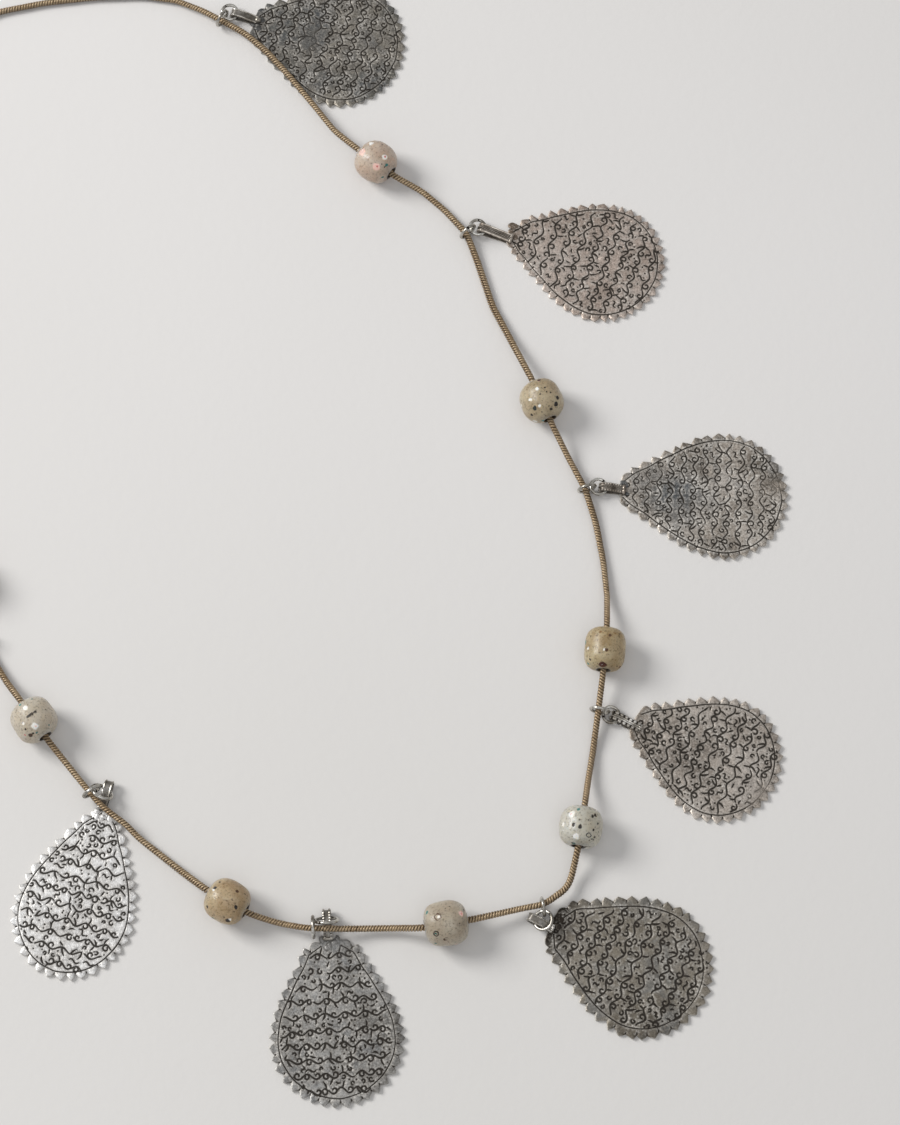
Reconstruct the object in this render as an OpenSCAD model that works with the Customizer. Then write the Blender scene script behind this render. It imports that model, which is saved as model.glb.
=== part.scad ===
// Charm necklace lying in an open loop on a flat surface: a snake chain that
// carries nine flat toothed silver drops on jump rings, with eight old glass
// beads threaded between them. Millimetres, +Z up, the surface at z = 0.

/* [Chain] */
// Outer diameter of the chain
chain_d = 1.75; // [1.5:0.05:1.8]

/* [Jump rings] */
// Wire diameter of every jump ring
ring_wire = 0.8; // [0.6:0.05:0.85]

/* [Pendants] */
// Thickness of the silver plate
plate_t = 0.9; // [0.7:0.1:1.0]
// Number of filed teeth round the rim of most drops
teeth = 38; // [30:2:50]
// Depth of the filed teeth
tooth_d = 1.2; // [0.8:0.1:1.8]
// Thickness of the folded strip that makes the bail
bail_t = 0.6; // [0.5:0.05:0.7]

/* [Beads] */
// Diameter of the bore through each bead
bore_d = 3.2; // [3.0:0.1:3.8]
// How square the barrel of a bead is, 2 being an ellipse
bead_power = 2.7; // [2.2:0.1:3.5]

/* [Clasp] */
// Outer diameter of the barrel clasp
clasp_d = 5.2; // [4.6:0.2:6.0]
// Length of the barrel clasp
clasp_l = 16; // [14:1:20]

/* [Hidden] */
$fn = 48;

// Middle of the whole outline in the frame that the tables below use.
mid = [-47.04, 11.39];

// The chain's route, from one socket of the clasp round to the other.
// Columns: x, y, height of the chain's middle.
ROUTE = [
    [-132.0, 116.0, 2.6], [-132.0, 122.0, 2.4], [-130.5, 129.0, 0.9], [-127.0, 136.0, 0.9],
    [-121.0, 141.5, 0.9], [-113.0, 145.2, 0.9], [-102.0, 147.6, 0.9], [-90.0, 149.1, 0.9],
    [-78.0, 149.6, 0.9], [-69.0, 148.3, 1.0], [-62.0, 145.0, 1.7], [-57.5, 142.2, 2.1],
    [-51.5, 138.6, 2.2], [-45.7, 133.4, 2.1], [-40.4, 127.2, 2.0], [-34.2, 119.2, 2.0],
    [-28.6, 111.4, 2.8], [-22.9, 105.7, 4.7], [-13.6, 98.3, 4.7], [-6.8, 95.3, 2.2],
    [-1.4, 90.9, 1.0], [4.1, 84.1, 2.0], [6.6, 77.4, 1.0], [10.4, 65.2, 0.9],
    [13.7, 58.3, 1.6], [19.6, 45.1, 4.7], [24.5, 33.2, 4.7], [28.6, 25.4, 1.8],
    [32.4, 17.6, 2.0], [34.8, 9.6, 1.0], [36.5, -0.5, 0.9], [37.2, -9.0, 1.6],
    [36.9, -17.1, 4.7], [35.8, -29.0, 4.7], [34.7, -37.2, 2.7], [33.4, -46.5, 0.9],
    [32.1, -54.0, 2.0], [31.2, -60.0, 4.7], [29.3, -71.5, 4.7], [27.9, -77.3, 2.2],
    [26.7, -79.8, 2.7], [21.6, -83.5, 3.0], [18.5, -84.1, 3.2], [16.1, -84.5, 2.8],
    [5.0, -87.4, 4.7], [-6.8, -89.4, 4.7], [-13.2, -88.9, 2.2], [-20.0, -89.0, 2.2],
    [-25.0, -89.3, 3.5], [-28.2, -89.3, 4.0], [-32.8, -89.2, 3.8], [-38.0, -88.0, 2.2],
    [-41.5, -87.2, 2.8], [-46.0, -86.0, 4.7], [-56.0, -80.4, 4.7], [-60.9, -76.4, 2.2],
    [-66.4, -71.9, 1.0], [-72.2, -67.4, 1.4], [-74.9, -64.7, 2.9], [-79.0, -61.9, 4.0],
    [-81.4, -59.7, 3.7], [-86.0, -54.1, 2.5], [-90.2, -48.9, 2.4], [-93.4, -45.2, 4.7],
    [-100.4, -35.3, 4.7], [-104.3, -29.9, 2.0], [-108.2, -23.6, 1.2], [-110.6, -19.4, 2.0],
    [-112.8, -14.6, 2.2], [-114.8, -9.6, 4.7], [-119.0, 1.6, 4.7], [-122.0, 10.0, 1.7],
    [-126.4, 23.0, 2.0], [-130.0, 38.0, 0.9], [-132.4, 56.0, 0.9], [-133.2, 74.0, 0.9],
    [-132.8, 91.0, 1.1], [-132.0, 102.0, 2.5], [-132.0, 108.0, 2.6]];

// The beads. Each sits on the straight stretch that starts at the route point
// in the first column. Columns: route point, diameter, length.
BEADS = [
    [17, 10.0, 9.8], [25, 10.4, 10.2], [32, 10.0, 10.2], [37, 10.0, 9.4],
    [44, 10.4, 10.0], [53, 10.0, 9.8], [63, 10.4, 9.8], [69, 10.2, 9.8]];

// The drops. E is the point where the bail ring's wire lies in the bail.
// Columns: E x, E y, heading, plate length, plate width, E to the plate's tip,
// E to the bail's end, bail width, E to the middle of the bail's bend, shift of
// the plate to its left, radius of the bend inside, how much wider each side is
// near the tip, teeth more than most drops have, how far the left and the
// right corner of the tip is cut back
PLATES = [
    [-53.3, 144.1, -16.3, 40, 33.7, 3.5, 5, 1.8, 0.45, -0.5, 0.7, 0.8, 0, 0.6, 0.6],
    [8.6, 85.4, -19.3, 40.4, 31.6, 5, 6.7, 2.2, 0.45, 1.7, 0.7, -0.1, 4, 2.1, 0.8],
    [37.4, 18.3, -4.6, 41.2, 32, 2.7, 4.2, 1.9, 0.45, 0.4, 0.7, 0.2, 0, 0.4, 0],
    [39.4, -38.8, -25.3, 37.4, 30.6, 2.9, 5.5, 2, 0.45, 1.3, 0.7, 0.6, -2, 0, 0],
    [19.4, -86.7, -26.9, 40.4, 32.3, 3.1, 4.6, 1.8, 0.45, 1.4, 0.7, 2, 0, 0.8, 0],
    [-28.3, -86.3, -85.8, 39.4, 30, 4.4, 4.8, 1.6, 0.45, 0.5, 0.85, 2.1, 0, 0, 0],
    [-79.6, -55.9, -105.5, 41.7, 28.7, 4.2, 4.5, 1.6, 0.65, 1, 0.85, 0.2, 0, 0.6, 1.3],
    [-115.3, -21.5, 200, 40, 32, 4.4, 6.4, 2.2, 0.45, 0, 0.7, 0.4, 0, 0, 0],
    [-131.8, 24.1, 166, 40, 32, 4.4, 6.4, 2.2, 0.45, 0, 0.7, 0.2, 0, 0, 0]];
// Height of the bend's middle in the bail of drop n
function bail_z(n) = PLATES[n - 1][10] + bail_t + 0.12;
// Distance from E at which the front leg starts to slope down to the plate
bail_knee = 1.2;

// The rings on the chain. Columns: route point, shift along the chain,
// direction of the plane, radius, shift of the middle that way, height
CHAIN_RINGS = [
    [11, 0.16, 56, 2.1, 0.55, 2.51], [21, -0.19, 39, 2.1, 0.45, 2.51], [28, -0.14, 17, 2.1, 0.38, 2.53],
    [34, -0.11, -11, 2.1, 0.39, 2.56], [41, 0.34, -80, 2.05, 0.36, 2.88], [50, -1.53, 93, 2.4, 0.51, 3.37],
    [60, 3.28, 34, 2.1, 0.59, 3.62], [67, 0.06, 207, 2.1, 0.48, 2.5], [72, 0.65, 180, 2.1, 0.45, 2.51]];

// The rings on the bails. Columns: direction from E to the ring's middle,
// radius, tilt upwards that way, shift of the middle to the left of it, lift
BAIL_RINGS = [
    [144, 1.9, 9, 0.73, 0], [166, 1.9, 7, -0.15, 0], [175, 1.9, 11, -0.03, 0],
    [151, 1.9, 6, 0.12, 0], [-7, 2.2, 24, -0.11, 0], [-87, 2.6, 65, -0.03, -0.12],
    [-126, 2.5, 51, -0.24, -0.21], [15, 1.9, 6, 0.16, 0], [-13, 1.9, 8, -0.04, 0]];

// Half-outline of a drop over its teeth, from the tip to the round end.
// Columns: share of the length, share of half the width
DROP = [[0.00, 0.21], [0.07, 0.34], [0.15, 0.46], [0.22, 0.585], [0.30, 0.71],
    [0.37, 0.815], [0.44, 0.90], [0.52, 0.965], [0.60, 1.00], [0.67, 0.995],
    [0.74, 0.95], [0.81, 0.865], [0.88, 0.72], [0.94, 0.52], [0.98, 0.29], [1.00, 0.00]];

function unit(v) = v / norm(v);
function wrap(v, n) = max(0, min(n, v));
function heading(v) = atan2(v[1], v[0]);
function along(a) = [cos(a), sin(a), 0];

// Direction of the route at point i, from its neighbours.
function route_dir(i) = unit(ROUTE[wrap(i + 1, len(ROUTE) - 1)] - ROUTE[wrap(i - 1, len(ROUTE) - 1)]);
function side_of(t) = unit([-t[1], t[0], 0]);
function up_of(t) = cross(t, side_of(t));

// One ring of eight points round the route at point i.
chain_sides = 8;
function tube_ring(i, r) = let (t = route_dir(i), s = side_of(t), u = up_of(t))
    [for (k = [0 : chain_sides - 1])
        ROUTE[i] + r * cos((k + 0.5) * 360 / chain_sides) * s + r * sin((k + 0.5) * 360 / chain_sides) * u];

// Smooth half-outline through the table, as [u, v] from tip to round end.
function curve4(a, b, c, d, t) = 0.5 * ((2 * b) + (c - a) * t + (2 * a - 5 * b + 4 * c - d) * t * t
    + (3 * b - a - 3 * c + d) * t * t * t);
function drop_half(l, w, f, g) = [for (i = [0 : len(DROP) - 2]) for (k = [0 : 5])
    let (a = DROP[wrap(i - 1, len(DROP) - 1)], b = DROP[i], c = DROP[i + 1],
        d = i + 2 < len(DROP) ? DROP[i + 2] : [DROP[len(DROP) - 1][0], -DROP[len(DROP) - 2][1]],
        p = curve4(a, b, c, d, k / 6))
    [p[0] * l, max(0, p[1] * w / 2 + f * min(1, p[0] / 0.06) * pow(max(0, 1 - p[0]), 1.5)
        - g * max(0, 1 - p[0] * l / 4))]];
function drop_side(l, w, f, g) = concat(drop_half(l, w, f, g), [[l, 0]]);
function run_length(p, i = 0, s = 0) = i >= len(p) ? []
    : let (s2 = i == 0 ? 0 : s + norm(p[i] - p[i - 1])) concat([s2], run_length(p, i + 1, s2));

// Rim with its teeth: tips on the outline, notches tooth_d inside it.
function rim_at(side, run, s) = [lookup(s, [for (i = [0 : len(side) - 1]) [run[i], side[i][0]]]),
    lookup(s, [for (i = [0 : len(side) - 1]) [run[i], side[i][1]]])];
function rim_in(side, run, s) = let (a = rim_at(side, run, max(0, s - 0.4)), b = rim_at(side, run, s + 0.4),
    t = unit(b - a)) rim_at(side, run, s) + tooth_d * [t[1], -t[0]];
function rim_half(l, w, f, g, count) = let (side = drop_side(l, w, f, g), run = run_length(side),
    all = run[len(run) - 1], n = floor(count / 2), step = all / n)
    [for (i = [0 : n - 1]) for (k = [0 : 2])
        k == 0 ? rim_in(side, run, max(0.01, i * step))
        : rim_at(side, run, (i + (k == 1 ? 0.42 : 0.58)) * step)];
function rim(l, w, f, gl, gr, count) = let (h = rim_half(l, w, f, gl, count), m = rim_half(l, w, f, gr, count), n = len(m))
    concat([[tooth_d * 0.4, 0]], h, [[l - tooth_d, 0]], [for (i = [n - 1 : -1 : 0]) [m[i][0], -m[i][1]]]);

// Barrel profile of a bead, outer wall only, from one end to the other.
bead_steps = 18;
function power(v, p) = v <= 0 ? 0 : pow(v, p);
function barrel(d, l) = [for (i = [0 : bead_steps])
    let (a = 180 * i / bead_steps, c = cos(a), s = sin(a))
    [max(bore_d / 2 + 0.4, d / 2 * power(s, 2 / bead_power)), (c < 0 ? -1 : 1) * l / 2 * power(abs(c), 2 / bead_power)]];

module chain() {
    n = len(ROUTE);
    pts = [for (i = [0 : n - 1]) for (p = tube_ring(i, chain_d / 2)) p];
    walls = [for (i = [0 : n - 2]) for (k = [0 : chain_sides - 1])
        let (k2 = (k + 1) % chain_sides)
        [i * chain_sides + k, (i + 1) * chain_sides + k, (i + 1) * chain_sides + k2, i * chain_sides + k2]];
    start = [[for (k = [0 : chain_sides - 1]) k]];
    end = [[for (k = [chain_sides - 1 : -1 : 0]) (n - 1) * chain_sides + k]];
    color("tan") place() polyhedron(points = pts, faces = concat(start, walls, end), convexity = 10);
}

// Barrel with a blind socket at each end, turned in one piece.
module clasp() {
    color("silver") place() translate([-132, 112, clasp_d / 2]) rotate([90, 0, 0])
    difference() {
        union() {
            cylinder(d = clasp_d - 0.4, h = clasp_l, center = true);
            for (s = [-1, 1]) translate([0, 0, s * (clasp_l / 2 - 1)])
                cylinder(d = clasp_d, h = 2, center = true);
            cylinder(d = clasp_d, h = 1.6, center = true);
        }
        for (s = [-1, 1]) translate([0, 0, s * (clasp_l / 2 + 3.6)])
            cylinder(d = chain_d + 0.5, h = clasp_l, center = true);
    }
}

module pendant(n) {
    p = PLATES[n - 1];
    color("gray") place() translate([p[0], p[1], 0]) rotate([0, 0, p[2]]) union() {
        translate([p[5], p[9], 0]) linear_extrude(height = plate_t) polygon(rim(p[3], p[4], p[11], p[13], p[14], teeth + p[12]));
        bail(p[5], p[6], p[7], p[8], p[10], bail_z(n));
    }
}

// Strip folded into a hairpin: the front leg lies on the plate's face and ends
// in a small bar, the back leg is soldered to the plate's tip.
module bail(tip, end, w, bend, inner, mz) {
    out = inner + bail_t;
    rotate([90, 0, 0]) linear_extrude(height = w, center = true) union() {
        translate([-bend, mz]) difference() {
            circle(r = out);
            circle(r = inner);
            translate([0, -3]) square([4, 6]);
        }
        polygon([[-bend, mz + inner], [-bend, mz + out], [bail_knee, mz + out - 0.1],
            [end, plate_t + bail_t], [end, plate_t - 0.05], [bail_knee, mz + inner - 0.1]]);
        polygon([[-bend, mz - out], [-bend, mz - inner], [tip + 1.2, 0.75], [tip + 1.2, 0.1]]);
        translate([end - 0.3, plate_t - 0.05]) square([0.7, bail_t + 0.2]);
    }
}

module wire_ring(r) {
    rotate_extrude() translate([r, 0]) circle(d = ring_wire);
}

module chain_ring(n) {
    c = CHAIN_RINGS[n - 1];
    q = ROUTE[c[0]];
    t = route_dir(c[0]);
    color("lightgray") place()
        translate([q[0] + c[1] * t[0], q[1] + c[1] * t[1], 0] + c[4] * along(c[2]) + [0, 0, c[5]])
        rotate([0, 0, c[2]]) rotate([90, 0, 0]) wire_ring(c[3]);
}

module bail_ring(n) {
    b = BAIL_RINGS[n - 1];
    p = PLATES[n - 1];
    color("lightgray") place() translate([p[0], p[1], bail_z(n) + b[4]])
        rotate([0, 0, b[0]]) rotate([0, -b[2], 0]) translate([b[1], b[3], 0]) wire_ring(b[1]);
}

module bead(n) {
    b = BEADS[n - 1];
    a = ROUTE[b[0]];
    c = ROUTE[b[0] + 1];
    color("darkkhaki") place() translate([(a[0] + c[0]) / 2, (a[1] + c[1]) / 2, b[1] / 2])
        rotate([0, 0, heading(c - a)]) rotate([0, 90, 0])
        rotate_extrude() polygon(concat([[bore_d / 2, -b[2] / 2 + 0.25], [bore_d / 2, b[2] / 2 - 0.25]],
            barrel(b[1], b[2])));
}

// Moves a piece from the tables' frame to the frame of the part.
module place() translate([-mid[0], -mid[1], 0]) children();

chain();
clasp();
pendant(1);  // pendant_1
pendant(2);  // pendant_2
pendant(3);  // pendant_3
pendant(4);  // pendant_4
pendant(5);  // pendant_5
pendant(6);  // pendant_6
pendant(7);  // pendant_7
pendant(8);  // pendant_8
pendant(9);  // pendant_9
chain_ring(1);  // chain_ring_1
chain_ring(2);  // chain_ring_2
chain_ring(3);  // chain_ring_3
chain_ring(4);  // chain_ring_4
chain_ring(5);  // chain_ring_5
chain_ring(6);  // chain_ring_6
chain_ring(7);  // chain_ring_7
chain_ring(8);  // chain_ring_8
chain_ring(9);  // chain_ring_9
bail_ring(1);  // bail_ring_1
bail_ring(2);  // bail_ring_2
bail_ring(3);  // bail_ring_3
bail_ring(4);  // bail_ring_4
bail_ring(5);  // bail_ring_5
bail_ring(6);  // bail_ring_6
bail_ring(7);  // bail_ring_7
bail_ring(8);  // bail_ring_8
bail_ring(9);  // bail_ring_9
bead(1);  // bead_1
bead(2);  // bead_2
bead(3);  // bead_3
bead(4);  // bead_4
bead(5);  // bead_5
bead(6);  // bead_6
bead(7);  // bead_7
bead(8);  // bead_8
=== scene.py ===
import bpy
import math
import numpy as np
from mathutils import Vector, Matrix
from mathutils.geometry import delaunay_2d_cdt


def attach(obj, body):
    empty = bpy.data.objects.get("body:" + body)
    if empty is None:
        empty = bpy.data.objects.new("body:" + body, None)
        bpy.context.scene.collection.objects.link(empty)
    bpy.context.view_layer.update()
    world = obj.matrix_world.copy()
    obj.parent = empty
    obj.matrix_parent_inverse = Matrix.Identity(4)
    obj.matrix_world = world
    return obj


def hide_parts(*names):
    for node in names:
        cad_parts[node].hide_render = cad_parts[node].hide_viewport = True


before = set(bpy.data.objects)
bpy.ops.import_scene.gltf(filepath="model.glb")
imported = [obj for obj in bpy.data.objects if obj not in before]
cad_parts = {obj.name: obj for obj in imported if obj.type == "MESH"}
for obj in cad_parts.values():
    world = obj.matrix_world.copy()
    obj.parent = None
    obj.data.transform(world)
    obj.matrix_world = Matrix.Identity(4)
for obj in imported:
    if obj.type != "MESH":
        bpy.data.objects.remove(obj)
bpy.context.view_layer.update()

MM = 0.001
MID = (-47.04, 11.39)

# ---------------------------------------------------------------- tables (mm)
# the same tables that shape the solids, in the frame of the photographed lay
ROUTE = [
    [-132.0, 116.0, 2.6], [-132.0, 122.0, 2.4], [-130.5, 129.0, 0.9], [-127.0, 136.0, 0.9],
    [-121.0, 141.5, 0.9], [-113.0, 145.2, 0.9], [-102.0, 147.6, 0.9], [-90.0, 149.1, 0.9],
    [-78.0, 149.6, 0.9], [-69.0, 148.3, 1.0], [-62.0, 145.0, 1.7], [-57.5, 142.2, 2.1],
    [-51.5, 138.6, 2.2], [-45.7, 133.4, 2.1], [-40.4, 127.2, 2.0], [-34.2, 119.2, 2.0],
    [-28.6, 111.4, 2.8], [-22.9, 105.7, 4.7], [-13.6, 98.3, 4.7], [-6.8, 95.3, 2.2],
    [-1.4, 90.9, 1.0], [4.1, 84.1, 2.0], [6.6, 77.4, 1.0], [10.4, 65.2, 0.9],
    [13.7, 58.3, 1.6], [19.6, 45.1, 4.7], [24.5, 33.2, 4.7], [28.6, 25.4, 1.8],
    [32.4, 17.6, 2.0], [34.8, 9.6, 1.0], [36.5, -0.5, 0.9], [37.2, -9.0, 1.6],
    [36.9, -17.1, 4.7], [35.8, -29.0, 4.7], [34.7, -37.2, 2.7], [33.4, -46.5, 0.9],
    [32.1, -54.0, 2.0], [31.2, -60.0, 4.7], [29.3, -71.5, 4.7], [27.9, -77.3, 2.2],
    [26.7, -79.8, 2.7], [21.6, -83.5, 3.0], [18.5, -84.1, 3.2], [16.1, -84.5, 2.8],
    [5.0, -87.4, 4.7], [-6.8, -89.4, 4.7], [-13.2, -88.9, 2.2], [-20.0, -89.0, 2.2],
    [-25.0, -89.3, 3.5], [-28.2, -89.3, 4.0], [-32.8, -89.2, 3.8], [-38.0, -88.0, 2.2],
    [-41.5, -87.2, 2.8], [-46.0, -86.0, 4.7], [-56.0, -80.4, 4.7], [-60.9, -76.4, 2.2],
    [-66.4, -71.9, 1.0], [-72.2, -67.4, 1.4], [-74.9, -64.7, 2.9], [-79.0, -61.9, 4.0],
    [-81.4, -59.7, 3.7], [-86.0, -54.1, 2.5], [-90.2, -48.9, 2.4], [-93.4, -45.2, 4.7],
    [-100.4, -35.3, 4.7], [-104.3, -29.9, 2.0], [-108.2, -23.6, 1.2], [-110.6, -19.4, 2.0],
    [-112.8, -14.6, 2.2], [-114.8, -9.6, 4.7], [-119.0, 1.6, 4.7], [-122.0, 10.0, 1.7],
    [-126.4, 23.0, 2.0], [-130.0, 38.0, 0.9], [-132.4, 56.0, 0.9], [-133.2, 74.0, 0.9],
    [-132.8, 91.0, 1.1], [-132.0, 102.0, 2.5], [-132.0, 108.0, 2.6]]
PLATES = [
    [-53.3, 144.1, -16.3, 40, 33.7, 3.5, 5, 1.8, 0.45, -0.5, 0.7, 0.8, 0, 0.6, 0.6],
    [8.6, 85.4, -19.3, 40.4, 31.6, 5, 6.7, 2.2, 0.45, 1.7, 0.7, -0.1, 4, 2.1, 0.8],
    [37.4, 18.3, -4.6, 41.2, 32, 2.7, 4.2, 1.9, 0.45, 0.4, 0.7, 0.2, 0, 0.4, 0],
    [39.4, -38.8, -25.3, 37.4, 30.6, 2.9, 5.5, 2, 0.45, 1.3, 0.7, 0.6, -2, 0, 0],
    [19.4, -86.7, -26.9, 40.4, 32.3, 3.1, 4.6, 1.8, 0.45, 1.4, 0.7, 2, 0, 0.8, 0],
    [-28.3, -86.3, -85.8, 39.4, 30, 4.4, 4.8, 1.6, 0.45, 0.5, 0.85, 2.1, 0, 0, 0],
    [-79.6, -55.9, -105.5, 41.7, 28.7, 4.2, 4.5, 1.6, 0.65, 1, 0.85, 0.2, 0, 0.6, 1.3],
    [-115.3, -21.5, 200, 40, 32, 4.4, 6.4, 2.2, 0.45, 0, 0.7, 0.4, 0, 0, 0],
    [-131.8, 24.1, 166, 40, 32, 4.4, 6.4, 2.2, 0.45, 0, 0.7, 0.2, 0, 0, 0]]
CHAIN_RINGS = [
    [11, 0.16, 56, 2.1, 0.55, 2.51], [21, -0.19, 39, 2.1, 0.45, 2.51], [28, -0.14, 17, 2.1, 0.38, 2.53],
    [34, -0.11, -11, 2.1, 0.39, 2.56], [41, 0.34, -80, 2.05, 0.36, 2.88], [50, -1.53, 93, 2.4, 0.51, 3.37],
    [60, 3.28, 34, 2.1, 0.59, 3.62], [67, 0.06, 207, 2.1, 0.48, 2.5], [72, 0.65, 180, 2.1, 0.45, 2.51]]
BAIL_RINGS = [
    [144, 1.9, 9, 0.73, 0], [166, 1.9, 7, -0.15, 0], [175, 1.9, 11, -0.03, 0],
    [151, 1.9, 6, 0.12, 0], [-7, 2.2, 24, -0.11, 0], [-87, 2.6, 65, -0.03, -0.12],
    [-126, 2.5, 51, -0.24, -0.21], [15, 1.9, 6, 0.16, 0], [-13, 1.9, 8, -0.04, 0]]
BEADS = [
    [17, 10.0, 9.8], [25, 10.4, 10.2], [32, 10.0, 10.2], [37, 10.0, 9.4],
    [44, 10.4, 10.0], [53, 10.0, 9.8], [63, 10.4, 9.8], [69, 10.2, 9.8]]

DROP = [(0.00, 0.21), (0.07, 0.34), (0.15, 0.46), (0.22, 0.585), (0.30, 0.71),
        (0.37, 0.815), (0.44, 0.90), (0.52, 0.965), (0.60, 1.00), (0.67, 0.995),
        (0.74, 0.95), (0.81, 0.865), (0.88, 0.72), (0.94, 0.52), (0.98, 0.29), (1.00, 0.00)]
PLATE_T = 0.9
BAIL_T = 0.6
TEETH = 38
TOOTH_D = 1.15
CHAIN_R = 0.875
WIRE_R = 0.4
BORE_R = 1.38


def part(p):
    """Tables' frame in mm to the part's frame in metres."""
    return ((p[0] - MID[0]) * MM, (p[1] - MID[1]) * MM, p[2] * MM)


# ------------------------------------------------------------------- helpers
def mesh_object(name, verts, faces, attrs=None, smooth=True, sharp=None, mats=None, face_mat=None):
    me = bpy.data.meshes.new(name)
    me.from_pydata([tuple(map(float, v)) for v in verts], [], [tuple(map(int, f)) for f in faces])
    me.update()
    if smooth:
        me.polygons.foreach_set("use_smooth", [True] * len(me.polygons))
    if sharp is not None:
        me.set_sharp_from_angle(angle=math.radians(sharp))
    for k, v in (attrs or {}).items():
        v = np.asarray(v, dtype=np.float32)
        if v.ndim == 1:
            a = me.attributes.new(k, 'FLOAT', 'POINT')
            a.data.foreach_set("value", v)
        else:
            a = me.attributes.new(k, 'FLOAT_COLOR', 'POINT')
            if v.shape[1] == 3:
                v = np.concatenate([v, np.ones((len(v), 1), dtype=np.float32)], 1)
            a.data.foreach_set("color", v.ravel())
    for m in mats or []:
        me.materials.append(m)
    if face_mat is not None:
        me.polygons.foreach_set("material_index", np.asarray(face_mat, dtype=np.int32))
    ob = bpy.data.objects.new(name, me)
    bpy.context.scene.collection.objects.link(ob)
    return ob


class Pile:
    """Collects several meshes with their point values into one."""

    def __init__(self):
        self.v, self.f, self.m, self.a, self.n = [], [], [], {}, 0

    def add(self, v, f, mat=0, **attrs):
        v = np.asarray(v, float).reshape(-1, 3)
        for k in set(self.a) | set(attrs):
            col = self.a.setdefault(k, [])
            have = sum(len(c) for c in col)
            if have < self.n:
                col.append(np.zeros(self.n - have))
            x = attrs.get(k)
            col.append(np.zeros(len(v)) if x is None else np.broadcast_to(np.asarray(x, float), (len(v),)).copy())
        self.f += [tuple(int(i) + self.n for i in t) for t in f]
        self.m += [mat] * len(f)
        self.v.append(v)
        self.n += len(v)

    def build(self, name, mats, smooth=True, sharp=None):
        v = np.concatenate(self.v)
        attrs = {}
        for k, col in self.a.items():
            c = np.concatenate(col)
            if len(c) < self.n:
                c = np.concatenate([c, np.zeros(self.n - len(c))])
            attrs[k] = c
        return mesh_object(name, v, self.f, attrs, smooth, sharp, mats, self.m)


def tube(path, radius, sides=8, up=(0, 0, 1), caps=True, closed=False, flat=1.0):
    """Round (or flattened) tube along a path. radius is one number or one per point."""
    p = np.asarray(path, float)
    n = len(p)
    r = np.broadcast_to(np.asarray(radius, float), (n,))
    if closed:
        t = np.roll(p, -1, 0) - np.roll(p, 1, 0)
    else:
        t = np.gradient(p, axis=0)
    t /= np.linalg.norm(t, axis=1)[:, None] + 1e-12
    u = np.asarray(up, float)
    a = np.cross(np.broadcast_to(u, t.shape), t)
    ln = np.linalg.norm(a, axis=1)
    a[ln < 1e-6] = (1, 0, 0)
    a /= np.linalg.norm(a, axis=1)[:, None]
    b = np.cross(t, a)
    k = np.arange(sides) * 2 * math.pi / sides
    v = p[:, None, :] + r[:, None, None] * (np.cos(k)[None, :, None] * a[:, None, :]
                                           + flat * np.sin(k)[None, :, None] * b[:, None, :])
    v = v.reshape(-1, 3)
    f = []
    m = n if closed else n - 1
    for i in range(m):
        i2 = (i + 1) % n
        for j in range(sides):
            j2 = (j + 1) % sides
            f.append((i * sides + j, i * sides + j2, i2 * sides + j2, i2 * sides + j))
    if caps and not closed:
        f.append(tuple(range(sides - 1, -1, -1)))
        f.append(tuple((n - 1) * sides + j for j in range(sides)))
    return v, f


def blob(centre, size, seed=0, seg=10, rings=7, rough=0.15):
    rng = np.random.default_rng(seed)
    ph = rng.uniform(0, 6.28, 6)
    v, f = [], []
    for i in range(rings + 1):
        a = math.pi * i / rings
        for j in range(seg):
            b = 2 * math.pi * j / seg
            d = np.array([math.sin(a) * math.cos(b), math.sin(a) * math.sin(b), math.cos(a)])
            k = 1 + rough * (math.sin(2.1 * d[0] + ph[0]) + math.sin(3.3 * d[1] + ph[1]) + math.sin(2.7 * d[2] + ph[2])) / 2
            v.append(np.asarray(centre) + np.asarray(size) * d * k)
    for i in range(rings):
        for j in range(seg):
            j2 = (j + 1) % seg
            f.append((i * seg + j, (i + 1) * seg + j, (i + 1) * seg + j2, i * seg + j2))
    return np.array(v), f


def wave(x, y, seed, n=9, lo=0.15, hi=0.9):
    """Smooth height noise from a few waves, about -1..1."""
    rng = np.random.default_rng(seed)
    s = np.zeros(np.shape(x))
    tot = 0
    for i in range(n):
        a = rng.uniform(0, math.pi * 2)
        k = rng.uniform(lo, hi)
        w = 1 / (0.5 + k)
        s = s + w * np.sin(k * (np.cos(a) * x + np.sin(a) * y) + rng.uniform(0, 6.28))
        tot += w
    return s / tot * 1.8


# ------------------------------------------------------------------ materials
def new_mat(name):
    m = bpy.data.materials.new(name)
    m.use_nodes = True
    nt = m.node_tree
    nt.nodes.clear()
    return m, nt


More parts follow.
